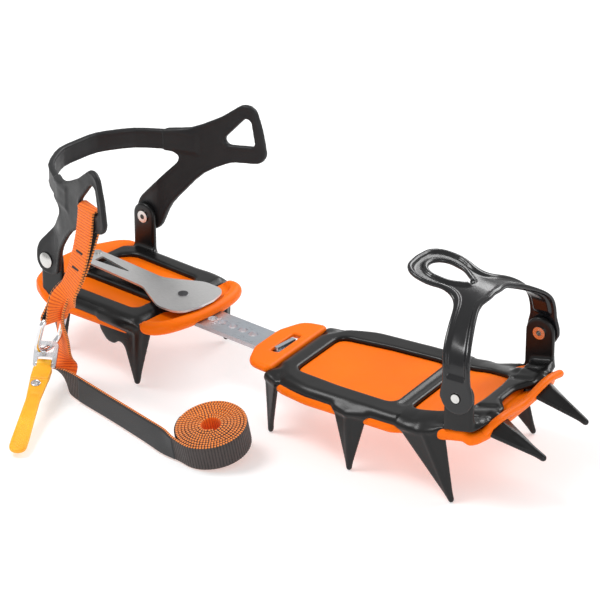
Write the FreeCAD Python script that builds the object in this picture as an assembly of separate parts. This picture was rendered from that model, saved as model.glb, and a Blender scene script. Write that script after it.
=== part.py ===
"""Twelve-point strap-on crampon with a flexible toe cage, a heel harness and a sprung length adjuster.

Working axes: X runs from the heel to the toes along the front section, Z is up, the ground is Z = 0.
The linking bar hooks behind the front section at HOOK_X and has swung BAR_SWING degrees in its hook,
so that everything behind the hook is built along X first and then turned about the hook.
"""
import FreeCAD, Part
import math
import os

Vector = FreeCAD.Vector
Y_AXIS = Vector(0, 1, 0)
Z_AXIS = Vector(0, 0, 1)

# ---- driving dimensions, millimetres and degrees ----
SHEET = 3.0                  # steel sheet of both frames
BAR_SWING = 8.4              # how far the bar has swung in its hook
HOOK_X = -11.0               # hook, behind the front section's rear rail

FRONT_TOP = 39.0             # boot side of the front section
FRONT_SKIRT = 8.5            # height of the folded edge under the front rails
TOE_RIVET_X = 122.5
TOE_RIVET_Z = 63.0
TOE_POST_IN = 42.0           # inner face of the toe posts
TOE_POST_WIDTH = 17.0
POST_THICK = 3.0
ARM_GAP = 0.35               # between a post and the arm that turns on it
ARM_THICK = 2.6
ARM_WIDTH = 16.0
RIVET_RADIUS = 2.5
RIVET_CLEARANCE = 0.08
RIVET_HEAD = 4.6
RIVET_HEAD_THICK = 1.6

RING_X = 88.0                # centre of the strap ring on top of the toe cage
RING_Z = 108.5
RING_TILT = 13.0
RING_RADIUS = 20.5
RING_HOLE_LENGTH = 12.5
RING_HOLE_WIDTH = 9.5
ARCH_TOP_X = 107.0
ARCH_TOP_Z = 104.5

HEEL_TOP = 41.0              # boot side of the heel section
HEEL_SKIRT = 7.5
HEEL_RIVET_X = -153.5
HEEL_RIVET_Z = 60.3
HEEL_POST_IN = 36.2
HEEL_POST_WIDTH = 16.0

BAR_WIDTH = 20.0
BAR_THICK = 2.5
BAR_TOP = 36.0
BAR_REAR_X = -158.0
HOLE_PITCH = 7.5
FIRST_HOLE_X = -36.0
HOLE_COUNT = 14
HOLE_RADIUS = 2.8
PIN_HOLE = 7                 # the adjuster pin stands in this hole, counted from 0
PIN_RADIUS = 2.1
GUIDE_GAP = 0.3              # bar to guide, bar to plate

LEAF_THICK = 1.2
LEAF_REAR_X = -164.0
LEAF_REAR_Z = 46.0           # top of the leaf at its riveted end
LEAF_FRONT_Z = 44.0          # top of the leaf's thumb tab
LEAF_BEND_X = -104.0
LEAF_RIVET_X = -160.5
LEAF_RIVET_Y = 5.0

HARNESS_THICK = 3.2
BAND_BOTTOM = 104.0
BAND_TOP = 116.0

PLATE_THICK = 2.4            # anti-balling plates

STRAP_WIDTH = 15.0
STRAP_THICK = 1.7
ROLL_RADIUS = 20.5
ROLL_TILT = 14.0
RING_WIRE = 1.6              # radius of the buckle ring's wire
RING_DROP = 23.0             # buckle ring, from its top wire to its bottom wire
RING_SPAN = 18.0             # buckle ring, between its side wires
PLATE_TO_BAR = 8.9           # from the ring's bottom wire to the bar that the pull tab turns on
TAB_BAR = 1.2                # radius of that bar
TURN_GAP = 0.08              # radial clearance of a wire or bar that turns in its eye


# ---- helpers ----
def rounded_wire(points, z=0.0):
    """Closed wire through (x, y, corner radius) points, each corner eased by a tangent arc."""
    edges = []
    starts = []
    arcs = []
    count = len(points)
    for i in range(count):
        before = Vector(points[i - 1][0], points[i - 1][1], z)
        here = Vector(points[i][0], points[i][1], z)
        after = Vector(points[(i + 1) % count][0], points[(i + 1) % count][1], z)
        radius = points[i][2]
        if radius <= 0:
            starts.append((here, here))
            arcs.append(None)
            continue
        back = (before - here).normalize()
        ahead = (after - here).normalize()
        half = back.getAngle(ahead) / 2
        reach = radius / math.tan(half)
        middle = (back + ahead).normalize()
        centre = here + middle * (radius / math.sin(half))
        first = here + back * reach
        last = here + ahead * reach
        arcs.append(Part.Arc(first, centre - middle * radius, last).toShape())
        starts.append((first, last))
    for i in range(count):
        if arcs[i] is not None:
            edges.append(arcs[i])
        leave = starts[i][1]
        arrive = starts[(i + 1) % count][0]
        if leave.distanceToPoint(arrive) > 1e-6:
            edges.append(Part.makeLine(leave, arrive))
    return Part.Wire(edges)


def slab(points, bottom, top):
    """Upright prism over a rounded outline in the XY plane."""
    face = Part.Face(rounded_wire(points, bottom))
    return face.extrude(Vector(0, 0, top - bottom))


def side_plate(points, y_from, y_to):
    """Prism across Y over a rounded outline given as (x, z, corner radius)."""
    face = Part.Face(rounded_wire(points, 0.0))
    solid = face.extrude(Vector(0, 0, y_to - y_from))
    solid.rotate(Vector(0, 0, 0), Vector(1, 0, 0), 90)
    solid.translate(Vector(0, y_to, 0))
    return solid


def box(x_from, x_to, y_from, y_to, z_from, z_to):
    return Part.makeBox(x_to - x_from, y_to - y_from, z_to - z_from, Vector(x_from, y_from, z_from))


def cross_cylinder(x, z, radius, y_from, y_to):
    return Part.makeCylinder(radius, y_to - y_from, Vector(x, y_from, z), Y_AXIS)


def mirrored(shape):
    return shape.mirror(Vector(0, 0, 0), Y_AXIS)


def both_sides(shape):
    return shape.fuse(mirrored(shape))


def symmetric(half_points):
    """Full outline from its +Y half, listed from the rear to the front."""
    other = [(x, -y, r) for (x, y, r) in reversed(half_points)]
    return half_points + other


def grown(points, amount):
    """Outline moved outwards by an amount (inwards when negative)."""
    face = Part.Face(rounded_wire(points))
    wire = face.OuterWire.makeOffset2D(amount, 0, False, False, False)
    return wire


def grown_slab(points, amount, bottom, top):
    wire = grown(points, amount)
    face = Part.Face(wire)
    solid = face.extrude(Vector(0, 0, top - bottom))
    solid.translate(Vector(0, 0, bottom))
    return solid


def tidy(shape):
    """One clean solid."""
    shape = shape.removeSplitter()
    if len(shape.Solids) == 1:
        return shape.Solids[0]
    biggest = max(shape.Solids, key=lambda s: s.Volume)
    return biggest


def behind_hook(shape):
    """Turn a piece of the rear assembly about the hook, as far as the bar has swung."""
    turned = shape.copy()
    turned.rotate(Vector(HOOK_X, 0, 0), Z_AXIS, -BAR_SWING)
    return turned


def framed(shape, origin, along, face):
    """Place a shape: its X goes along one direction and its Z as near as it can to another."""
    x_dir = Vector(*along).normalize()
    z_dir = Vector(*face)
    y_dir = z_dir.cross(x_dir).normalize()
    z_dir = x_dir.cross(y_dir)
    turn = FreeCAD.Rotation(x_dir, y_dir, z_dir, "XYZ")
    placed = shape.copy()
    placed.Placement = FreeCAD.Placement(Vector(*origin), turn).multiply(placed.Placement)
    return placed


# ---- front section ----
FRONT_OUTLINE = symmetric([
    (-9.0, 22.0, 8.0),
    (4.0, 37.5, 10.0),
    (77.0, 43.0, 60.0),
    (114.0, 43.5, 3.0),
    (114.0, POST_THICK + TOE_POST_IN, 1.0),
    (131.0, POST_THICK + TOE_POST_IN, 3.0),
    (131.0, 33.0, 3.0),
    (127.5, 31.0, 3.0),
    (127.5, 14.0, 4.0),
    (121.5, 7.0, 6.0),
])
FRONT_OPENING = symmetric([(10.5, 24.0, 6.0), (75.0, 29.0, 4.0)])
TOE_OPENING = symmetric([(83.5, 29.0, 4.0), (108.5, 24.0, 8.0)])


def folded_point(base, tip, fold, thickness):
    """A sheet point that narrows from a base line to a small blunt tip, folded along its middle."""
    blunt = 1.1
    left = Vector(*base[0])
    right = Vector(*base[1])
    middle = (left + right) * 0.5 + Vector(*fold)
    end = Vector(*tip)
    inward = Vector(*fold).normalize() * thickness
    across = (right - left).normalize()
    outer_base = [left, middle, right]
    inner_base = [right - inward, middle - inward, left - inward]
    base_wire = Part.makePolygon(outer_base + inner_base + [left])
    tip_left = end - across * blunt
    tip_right = end + across * blunt
    tip_middle = end + inward * (0.25)
    tip_inner = [tip_right - inward * 0.5, tip_middle - inward * 0.5, tip_left - inward * 0.5]
    tip_wire = Part.makePolygon([tip_left, tip_middle, tip_right] + tip_inner + [tip_left])
    return Part.makeLoft([base_wire, tip_wire], True, True)


def side_point(base_x, tip_x, y_out, top, width):
    """Flat point folded down from a side rail, on the -Y side."""
    half = width / 2
    shape = side_plate([
        (base_x - half, top, 0),
        (tip_x - 1.2, 0.0, 0.8),
        (tip_x + 1.2, 0.0, 0.8),
        (base_x + half, top, 0),
    ], y_out, y_out + SHEET)
    return shape


def front_points():
    """The eight points of the front section."""
    solids = []
    under = FRONT_TOP - FRONT_SKIRT
    corner = folded_point([(-8.0, -20.5, under + 2), (3.5, -36.5, under + 2)], (-3.5, -30.5, 0.6),
                          (-0.5, -0.35, 0.0), SHEET)
    solids.append(corner)
    solids.append(side_point(56.0, 56.2, -43.2, under + 2, 19.0))
    solids.append(folded_point([(89.5, -43.0, under + 2), (116.0, -39.5, under + 2)], (119.5, -44.5, 0.6),
                               (4.0, -4.5, 0.0), SHEET))
    solids.append(folded_point([(126.0, -33.0, FRONT_TOP - 4.0), (126.0, -13.5, FRONT_TOP - 4.0)],
                               (163.0, -23.4, 28.6), (0.0, 0.0, 4.0), SHEET))
    result = solids[0]
    for solid in solids[1:]:
        result = result.fuse(solid)
    return both_sides(result)


def toe_post():
    """Upright lug on the -Y side that carries the toe cage's rivet."""
    half = TOE_POST_WIDTH / 2
    return side_plate([
        (TOE_RIVET_X - half, FRONT_TOP - FRONT_SKIRT, 0),
        (TOE_RIVET_X + half, FRONT_TOP - FRONT_SKIRT, 0),
        (TOE_RIVET_X + half, TOE_RIVET_Z + half, half - 0.01),
        (TOE_RIVET_X - half, TOE_RIVET_Z + half, half - 0.01),
    ], -TOE_POST_IN - POST_THICK, -TOE_POST_IN)


def front_frame():
    """Stamped ring with folded edges, crossbar, rivet posts and eight points."""
    body = slab(FRONT_OUTLINE, FRONT_TOP - FRONT_SKIRT, FRONT_TOP)
    hollow = grown_slab(FRONT_OUTLINE, -SHEET, FRONT_TOP - FRONT_SKIRT - 1, FRONT_TOP - SHEET)
    body = body.cut(hollow)
    for opening in (FRONT_OPENING, TOE_OPENING):
        body = body.cut(slab(opening, FRONT_TOP - SHEET - 1, FRONT_TOP + 1))
    hook_slot = box(HOOK_X - 6, -4.0, -16, 16, FRONT_TOP - FRONT_SKIRT - 1, FRONT_TOP - SHEET)
    body = body.cut(hook_slot)
    post = both_sides(toe_post())
    body = body.fuse(post)
    body = body.fuse(front_points())
    bore = cross_cylinder(TOE_RIVET_X, TOE_RIVET_Z, RIVET_RADIUS, -60, 60)
    return tidy(body.cut(bore))


def front_plate():
    """Flexible anti-balling plate under the front section, with a tongue behind the hook and a lip."""
    top = FRONT_TOP - FRONT_SKIRT - 0.1
    plate = grown_slab(FRONT_OUTLINE, 2.2, top - PLATE_THICK, top)
    plate = plate.cut(box(-60, -5.5, -80, 80, 0, 60))
    plate = plate.cut(box(127.0, 160, -80, 80, 0, 60))
    for opening in (FRONT_OPENING, TOE_OPENING):
        plate = plate.fuse(grown_slab(opening, -0.6, top - 0.5, FRONT_TOP - 2.2))
    tongue = slab(symmetric([(-25.0, 15.0, 14.0), (-17.0, 29.0, 9.0), (-9.6, 29.0, 2.0)]),
                  FRONT_TOP - 2.6, FRONT_TOP - 0.3)
    window = slab(symmetric([(-16.2, 13.0, 1.0), (-5.0, 13.0, 1.0)]), 0, 60)
    tongue = tongue.cut(window)
    riser = box(-12.0, -9.5, 17.0, 28.0, top - PLATE_THICK, FRONT_TOP - 0.3)
    foot = box(-12.0, -5.0, 17.0, 28.0, top - PLATE_THICK, top)
    plate = plate.fuse(tongue).fuse(both_sides(riser.fuse(foot)))
    lip = box(125.5, 128.6, -35.0, 35.0, top - PLATE_THICK, top + 1.2)
    plate = plate.fuse(lip)
    return tidy(plate)


def notched(plate, frame_points, frame):
    """Cut the points' own shape, a little enlarged along the rails, out of a plate's rim."""
    result = plate
    for x_from, x_to, y_from, y_to in frame_points:
        for side in (-1, 1):
            low = min(side * y_from, side * y_to)
            high = max(side * y_from, side * y_to)
            result = result.cut(box(x_from, x_to, low, high, 0, 60))
    return tidy(result.cut(frame))


FRONT_NOTCHES = [
    (-14.0, 5.5, 28.5, 50.0),
    (45.5, 66.5, 39.6, 50.0),
    (87.5, 119.5, 37.6, 55.0),
    (113.0, 131.5, 41.4, 55.0),
]


# ---- toe cage ----
def toe_cage():
    """Stamped arch that turns on the toe rivets and carries the strap ring over the instep."""
    outside = 2.0 * (TOE_POST_IN + POST_THICK + ARM_GAP + ARM_THICK)
    side_view = side_plate([
        (TOE_RIVET_X - ARM_WIDTH / 2, TOE_RIVET_Z, 0),
        (TOE_RIVET_X - ARM_WIDTH / 2 + 0.5, 84.0, 20.0),
        (108.0 - ARM_WIDTH / 2, 116.0, 0),
        (111.0 + ARM_WIDTH / 2, 116.0, 0),
        (TOE_RIVET_X + ARM_WIDTH / 2 + 1.5, 84.0, 20.0),
        (TOE_RIVET_X + ARM_WIDTH / 2, TOE_RIVET_Z, 0),
    ], -60, 60)
    disc = cross_cylinder(TOE_RIVET_X, TOE_RIVET_Z, 9.3, -60, 60)
    side_view = side_view.fuse(disc)

    def arch_prism(shrink):
        half = outside / 2 - shrink
        crown = ARCH_TOP_Z + ARM_THICK / 2 - shrink
        points = [
            (-half, 40.0, 0),
            (half, 40.0, 0),
            (half, 79.0, 20.0),
            (33.0 - shrink * 0.6, 98.0 - shrink * 0.7, 22.0),
            (0.0, crown + 1.6, 60.0),
            (-33.0 + shrink * 0.6, 98.0 - shrink * 0.7, 22.0),
            (-half, 79.0, 20.0),
        ]
        face = Part.Face(rounded_wire(points))
        solid = face.extrude(Vector(0, 0, 120))
        turn = FreeCAD.Rotation(Vector(0, 1, 0), Vector(0, 0, 1), Vector(1, 0, 0), "XYZ")
        solid.Placement = FreeCAD.Placement(Vector(50, 0, 0), turn)
        return solid

    arch = arch_prism(0.0).cut(arch_prism(ARM_THICK)).common(side_view)
    ring = Part.makeCylinder(RING_RADIUS, ARM_THICK, Vector(0, 0, -ARM_THICK / 2), Z_AXIS)
    neck = slab([(8.0, 17.5, 4.0), (24.5, 12.5, 6.0), (24.5, -12.5, 6.0), (8.0, -17.5, 4.0)],
                -ARM_THICK / 2, ARM_THICK / 2)
    hole = slab(symmetric([(-RING_HOLE_LENGTH + 1, RING_HOLE_WIDTH, 8.0), (7.0, RING_HOLE_WIDTH - 1, 9.0),
                           (RING_HOLE_LENGTH + 3, 2.0, 2.0)]), -5, 5)
    ring = ring.fuse(neck).cut(hole)
    ring.rotate(Vector(0, 0, 0), Y_AXIS, RING_TILT)
    ring.translate(Vector(RING_X, 0, RING_Z))
    cage = arch.fuse(ring)
    bore = cross_cylinder(TOE_RIVET_X, TOE_RIVET_Z, RIVET_RADIUS + RIVET_CLEARANCE, -60, 60)
    return tidy(cage.cut(bore))


def rivet(x, z, post_in, flare):
    """Hollow rivet through a post and the arm outside it, on the +Y side."""
    inner = post_in - 0.9
    outer = post_in + POST_THICK + 2 * ARM_GAP + flare
    shank = cross_cylinder(x, z, RIVET_RADIUS, inner, outer)
    inner_rim = cross_cylinder(x, z, 3.6, inner, post_in)
    head = cross_cylinder(x, z, RIVET_HEAD, outer, outer + RIVET_HEAD_THICK)
    dome = Part.makeSphere(RIVET_HEAD * 1.9, Vector(x, outer + RIVET_HEAD_THICK - RIVET_HEAD * 1.9, z))
    body = shank.fuse(inner_rim).fuse(head.common(dome))
    hollow = cross_cylinder(x, z, 1.5, inner - 1, inner + 4)
    return tidy(body.cut(hollow))


# ---- linking bar ----
def pin_x():
    return FIRST_HOLE_X - PIN_HOLE * HOLE_PITCH


def link_bar():
    """Flat perforated bar with an upturned hook at its toe end."""
    half = BAR_WIDTH / 2
    body = slab(symmetric([(BAR_REAR_X, half, 4.0), (HOOK_X - 4.0, half, 2.0), (HOOK_X + 1.25, half - 2.5, 1.0)]),
                BAR_TOP - BAR_THICK, BAR_TOP)
    hook = box(HOOK_X - BAR_THICK, HOOK_X, -half + 2.5, half - 2.5, BAR_TOP - BAR_THICK, FRONT_TOP - 0.6)
    body = body.fuse(hook)
    for i in range(HOLE_COUNT):
        x = FIRST_HOLE_X - i * HOLE_PITCH
        body = body.cut(Part.makeCylinder(HOLE_RADIUS, 10, Vector(x, 0, BAR_TOP - 5), Z_AXIS))
    return tidy(body)


# ---- heel section ----
HEEL_OUTLINE = symmetric([
    (-177.0, 14.0, 12.0),
    (-168.0, 32.0, 12.0),
    (-156.0, 39.2, 12.0),
    (-100.0, 38.8, 40.0),
    (-87.0, 38.5, 4.0),
    (-79.5, 30.0, 6.0),
])
HEEL_OPENING_FAR = [(-152.0, 27.5, 9.0), (-100.0, 27.0, 5.0), (-100.0, 10.0, 3.0), (-158.0, 10.0, 6.0),
                    (-158.0, 20.0, 6.0)]


def heel_points():
    """Four points: a folded pair with a lobe at the front, a flat pair at the rear."""
    top = HEEL_TOP - 2
    flange = side_plate([
        (-119.5, top, 0),
        (-118.5, 25.0, 6.0),
        (-110.5, 18.0, 5.5),
        (-104.5, 26.0, 4.0),
        (-94.5, 0.0, 0.8),
        (-91.5, 0.0, 0.8),
        (-87.0, top, 0),
    ], -38.5, -38.5 + SHEET)
    cheek = folded_point([(-88.5, -38.3, top), (-87.0, -30.5, top)], (-92.0, -36.0, 1.0),
                         (1.0, -0.3, 0.0), 2.4)
    rear = side_plate([
        (-163.0, top, 0),
        (-155.0, 0.0, 0.8),
        (-152.6, 0.0, 0.8),
        (-146.0, top, 0),
    ], -33.0, -33.0 + SHEET)
    return both_sides(flange.fuse(cheek).fuse(rear))


def heel_post():
    """Upright lug on the -Y side that carries the harness rivet."""
    half = HEEL_POST_WIDTH / 2
    return side_plate([
        (HEEL_RIVET_X - half, HEEL_TOP - 5, 0),
        (HEEL_RIVET_X + half, HEEL_TOP - 5, 0),
        (HEEL_RIVET_X + half, HEEL_RIVET_Z + half, half - 0.01),
        (HEEL_RIVET_X - half, HEEL_RIVET_Z + half, half - 0.01),
    ], -HEEL_POST_IN - POST_THICK, -HEEL_POST_IN)


def heel_frame():
    """Stamped ring with a middle rail, folded sides, rivet posts and four points."""
    bottom = BAR_TOP + GUIDE_GAP + PLATE_THICK
    body = slab(HEEL_OUTLINE, bottom, HEEL_TOP)
    skirt = slab(HEEL_OUTLINE, HEEL_TOP - HEEL_SKIRT, bottom + 1)
    skirt = skirt.cut(grown_slab(HEEL_OUTLINE, -SHEET, 0, 60))
    skirt = skirt.cut(box(-200, -60, -32, 32, 0, 60))
    body = body.fuse(skirt)
    opening = slab(HEEL_OPENING_FAR, 0, 60)
    body = body.cut(opening.fuse(mirrored(opening)))
    body = body.fuse(both_sides(heel_post()))
    body = body.fuse(heel_points())
    seat = box(-169.0, -155.5, -8.3, 8.3, HEEL_TOP - 1, LEAF_REAR_Z - LEAF_THICK - 0.1)
    body = body.fuse(seat)
    body = body.cut(cross_cylinder(HEEL_RIVET_X, HEEL_RIVET_Z, RIVET_RADIUS, -60, 60))
    body = body.cut(Part.makeCylinder(4.2, 60, Vector(pin_x(), 0, 0), Z_AXIS))
    return tidy(body)


def heel_plate(frame):
    """Flexible anti-balling plate under the heel section, bulging in front of the frame."""
    bottom = BAR_TOP + GUIDE_GAP
    top = bottom + PLATE_THICK - 0.1
    inside = slab(symmetric([(-183.0, 12.0, 14.0), (-172.0, 36.0, 14.0), (-88.0, 35.0, 6.0),
                             (-72.0, 24.0, 20.0)]), bottom, top)
    roll_edge = slab(symmetric([(-86.0, 36.5, 3.0), (-77.0, 33.0, 8.0), (-69.5, 18.0, 22.0)]), bottom, top + 1.8)
    roll_edge = roll_edge.cut(grown_slab(HEEL_OUTLINE, 0.3, 0, 60))
    plate = inside.fuse(roll_edge)
    plate = plate.cut(Part.makeCylinder(4.5, 60, Vector(pin_x(), 0, 0), Z_AXIS))
    return tidy(plate.cut(frame))


def bar_guide():
    """Channel under the heel plate that the linking bar slides in."""
    half = BAR_WIDTH / 2 + GUIDE_GAP
    wall = 2.2
    floor = BAR_TOP - BAR_THICK - GUIDE_GAP
    outer = box(-150.0, -77.0, -half - wall, half + wall, floor - wall, BAR_TOP + GUIDE_GAP - 0.05)
    channel = box(-160.0, -70.0, -half, half, floor, BAR_TOP + 5)
    guide = outer.cut(channel)
    return tidy(guide.cut(Part.makeCylinder(3.2, 60, Vector(pin_x(), 0, 0), Z_AXIS)))


# ---- sprung adjuster ----
def leaf_outline():
    """Plan of the leaf: a parallel spring arm that opens into a fan-shaped thumb tab."""
    return symmetric([
        (LEAF_REAR_X, 8.0, 3.0),
        (-112.0, 8.0, 12.0),
        (-90.0, 20.0, 14.0),
        (-74.0, 19.5, 9.0),
        (-70.5, 6.0, 16.0),
    ])


def adjuster_leaf():
    """Stainless leaf that is riveted at its rear end and carries the pin under its thumb tab."""
    plan = slab(leaf_outline(), 30, 60)
    profile = side_plate([
        (LEAF_REAR_X - 5, LEAF_REAR_Z, 0),
        (-154.0, LEAF_REAR_Z, 30.0),
        (LEAF_BEND_X, LEAF_FRONT_Z, 60.0),
        (-60.0, LEAF_FRONT_Z, 0),
        (-60.0, LEAF_FRONT_Z - LEAF_THICK, 0),
        (LEAF_BEND_X, LEAF_FRONT_Z - LEAF_THICK, 60.0),
        (-154.0, LEAF_REAR_Z - LEAF_THICK, 30.0),
        (LEAF_REAR_X - 5, LEAF_REAR_Z - LEAF_THICK, 0),
    ], -40, 40)
    leaf = plan.common(profile)
    slit = slab([(-155.0, 3.4, 1.2), (-155.0, -3.4, 1.2), (-131.0, -0.5, 0.4), (-131.0, 0.5, 0.4)], 0, 60)
    leaf = leaf.cut(slit)
    for y in (-LEAF_RIVET_Y, LEAF_RIVET_Y):
        leaf = leaf.cut(Part.makeCylinder(1.6, 60, Vector(LEAF_RIVET_X, y, 0), Z_AXIS))
    return tidy(leaf.cut(Part.makeCylinder(1.5, 60, Vector(pin_x(), 0, 0), Z_AXIS)))


def adjuster_pin():
    """Stepped pin that drops through the leaf, the heel section and one hole of the bar."""
    head_bottom = LEAF_FRONT_Z
    neck = Part.makeCylinder(1.5, LEAF_THICK, Vector(pin_x(), 0, head_bottom - LEAF_THICK), Z_AXIS)
    head = Part.makeCylinder(2.9, 0.7, Vector(pin_x(), 0, head_bottom), Z_AXIS)
    end = BAR_TOP - BAR_THICK - 0.2
    shank = Part.makeCylinder(PIN_RADIUS, head_bottom - LEAF_THICK - end, Vector(pin_x(), 0, end), Z_AXIS)
    return tidy(head.fuse(neck).fuse(shank))


def leaf_rivet(y):
    """Small rivet that holds the leaf's rear end on its seat."""
    under = LEAF_REAR_Z - LEAF_THICK - 0.1
    shank = Part.makeCylinder(1.55, LEAF_THICK + 0.1, Vector(LEAF_RIVET_X, y, under), Z_AXIS)
    head = Part.makeCylinder(2.4, 0.8, Vector(LEAF_RIVET_X, y, LEAF_REAR_Z), Z_AXIS)
    return tidy(shank.fuse(head))


# ---- heel harness ----
def plan_wall(points, bottom, top):
    """Upright wall of the harness's thickness along an open line of (x, y, corner radius)."""
    path = []
    previous = Vector(points[0][0], points[0][1], bottom)
    for i in range(1, len(points) - 1):
        here = Vector(points[i][0], points[i][1], bottom)
        after = Vector(points[i + 1][0], points[i + 1][1], bottom)
        back = (Vector(points[i - 1][0], points[i - 1][1], bottom) - here).normalize()
        ahead = (after - here).normalize()
        half = back.getAngle(ahead) / 2
        radius = points[i][2]
        reach = radius / math.tan(half)
        middle = (back + ahead).normalize()
        centre = here + middle * (radius / math.sin(half))
        first = here + back * reach
        last = here + ahead * reach
        if previous.distanceToPoint(first) > 1e-6:
            path.append(Part.makeLine(previous, first))
        path.append(Part.Arc(first, centre - middle * radius, last).toShape())
        previous = last
    path.append(Part.makeLine(previous, Vector(points[-1][0], points[-1][1], bottom)))
    wire = Part.Wire(path)
    start = path[0].valueAt(path[0].FirstParameter)
    tangent = path[0].tangentAt(path[0].FirstParameter)
    across = tangent.cross(Z_AXIS).normalize() * (HARNESS_THICK / 2)
    lift = Vector(0, 0, top - bottom)
    corner = start - across
    section = Part.makePolygon([corner, start + across, start + across + lift, corner + lift, corner])
    return wire.makePipeShell([section], True, False, 2)


def harness_side_view():
    """Side outline of one leg and wing, with its strap triangle, as a prism across the whole width."""
    outline = side_plate([
        (HEEL_RIVET_X - 8.0, HEEL_RIVET_Z - 8.0, 7.9),
        (HEEL_RIVET_X + 8.5, HEEL_RIVET_Z - 8.0, 7.9),
        (-139.0, 70.0, 30.0),
        (-121.0, 92.0, 40.0),
        (-104.0, 101.0, 20.0),
        (-82.5, 104.0, 6.0),
        (-85.5, 122.0, 30.0),
        (-91.0, 142.0, 6.0),
        (-110.0, 128.0, 30.0),
        (-128.0, BAND_TOP + 2.0, 40.0),
        (-150.0, BAND_TOP, 0),
        (-150.0, BAND_BOTTOM + 1.0, 0),
        (-136.0, BAND_BOTTOM, 6.0),
        (-134.0, 98.0, 4.0),
        (-146.0, 84.0, 30.0),
        (-161.5, 68.0, 14.0),
    ], -90, 90)
    triangle = side_plate([
        (-112.0, 111.0, 3.0),
        (-89.5, 113.5, 2.5),
        (-92.5, 132.5, 3.0),
    ], -95, 95)
    return outline.cut(triangle)


def heel_harness():
    """Moulded harness: two legs on the heel rivets, two wings with strap triangles and a band between."""
    leg_y = HEEL_POST_IN + POST_THICK + ARM_GAP + HARNESS_THICK / 2
    wing = [(-134.0, 48.6, 20.0), (-106.0, 59.0, 60.0), (-80.0, 65.5, 0)]
    side = plan_wall([(-166.0, leg_y, 0), (-145.5, leg_y, 12.0)] + wing, 45, 150)
    side = side.common(harness_side_view())
    side = side.cut(box(-200, -141.0, -90, 90, 95, 160))
    band_half = [(-100.0, 61.0, 0), (-134.0, 48.6, 40.0), (-157.0, 34.0, 30.0), (-168.5, 14.0, 24.0)]
    band_other = [(x, -y, r) for (x, y, r) in reversed(band_half)]
    band = plan_wall(band_half + band_other, BAND_BOTTOM, BAND_TOP)
    band = band.cut(box(-122.0, 0, -90, 90, 0, 200))
    body = band.fuse(side).fuse(mirrored(side))
    bore = cross_cylinder(HEEL_RIVET_X, HEEL_RIVET_Z, RIVET_RADIUS + RIVET_CLEARANCE, -90, 90)
    return tidy(body.cut(bore))


# ---- strap and buckle ----
STRAP_X = -100.5                       # middle of the strap on the triangle's lower bar
STRAP_TOP = (STRAP_X, -59.5, 114.5)
LOOP_KNEE = (-107.5, -70.4, 68.0)
LOOP_END = (-117.6, -73.0, 47.2)       # top wire of the buckle ring
RING_AIM = (-125.0, -73.0, 24.6)       # the ring hangs from LOOP_END towards this point
PLATE_FALL = 45.0                      # slope of the plate under the ring, degrees
TAB_AIM = (-78.0, -144.5, 2.7)         # the tab's free end rests near this point
TAB_LENGTH = 76.0
TAB_EYE = 17.0                         # eyelet, from the tab's bar


def between(first, last):
    return Vector(*last) - Vector(*first)


def strap_bar_segment(first, last, width, thickness, face):
    """Straight run of webbing between two points."""
    run = between(first, last)
    flat = box(0, run.Length, -width / 2, width / 2, -thickness / 2, thickness / 2)
    return framed(flat, first, tuple(run), face)


def strap_loop(harness):
    """Doubled webbing that hangs from the -Y triangle and ends in an eye round the buckle ring."""
    face = (0.15, -1.0, 0.0)
    eye_width = 11.0
    run = between(LOOP_KNEE, LOOP_END)
    short = Vector(*LOOP_END) - run * (5.5 / run.Length)
    upper = strap_bar_segment(STRAP_TOP, LOOP_KNEE, STRAP_WIDTH, 3 * STRAP_THICK, face)
    lower = strap_bar_segment(LOOP_KNEE, tuple(short), eye_width, 2 * STRAP_THICK, (-1.0, -0.9, 0))
    neck = strap_bar_segment(tuple(short - run * 0.08), LOOP_END, eye_width, 2 * STRAP_THICK, (-1.0, 0, 0))
    across = Vector(0, eye_width / 2, 0)
    eye = Part.makeCylinder(RING_WIRE + STRAP_THICK, eye_width, Vector(*LOOP_END) - across, Y_AXIS)
    bore = Part.makeCylinder(RING_WIRE + TURN_GAP, 40.0, Vector(*LOOP_END) - Y_AXIS * 20.0, Y_AXIS)
    turn = box(STRAP_X - 8.5, STRAP_X + 6.5, -65.0, -54.0, 98.0, 115.0)
    return tidy(upper.fuse(lower).fuse(turn).fuse(neck).fuse(eye).cut(bore).cut(harness))


def buckle_down():
    """Unit vector from the ring's top wire to its bottom wire."""
    return between(LOOP_END, RING_AIM).normalize()


def ring_bottom():
    return Vector(*LOOP_END) + buckle_down() * RING_DROP


def buckle_ring():
    """Welded ring, straight along its top wire, which turns in the strap's eye."""
    half = RING_SPAN / 2
    top_corner = 3.0
    bottom_corner = half - 0.5
    wire = rounded_wire([(0.0, half, top_corner), (0.0, -half, top_corner), (RING_DROP, -half, bottom_corner),
                         (RING_DROP, half, bottom_corner)])
    section = Part.Wire(Part.makeCircle(RING_WIRE, Vector(0, 0, 0), Y_AXIS))
    ring = wire.makePipeShell([section], True, False)
    return framed(ring, LOOP_END, tuple(buckle_down()), tuple(buckle_down().cross(Y_AXIS)))


def plate_axes():
    """The plate's long direction and the level direction of the bar that the tab turns on."""
    level = Vector(*TAB_AIM) - ring_bottom()
    level = Vector(level.x, level.y, 0).normalize()
    fall = math.radians(PLATE_FALL)
    along = level * math.cos(fall) - Z_AXIS * math.sin(fall)
    return along, Vector(-level.y, level.x, 0)


def tab_bar():
    """Middle of the bar that the pull tab turns on."""
    along, _ = plate_axes()
    return ring_bottom() + along * PLATE_TO_BAR


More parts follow.
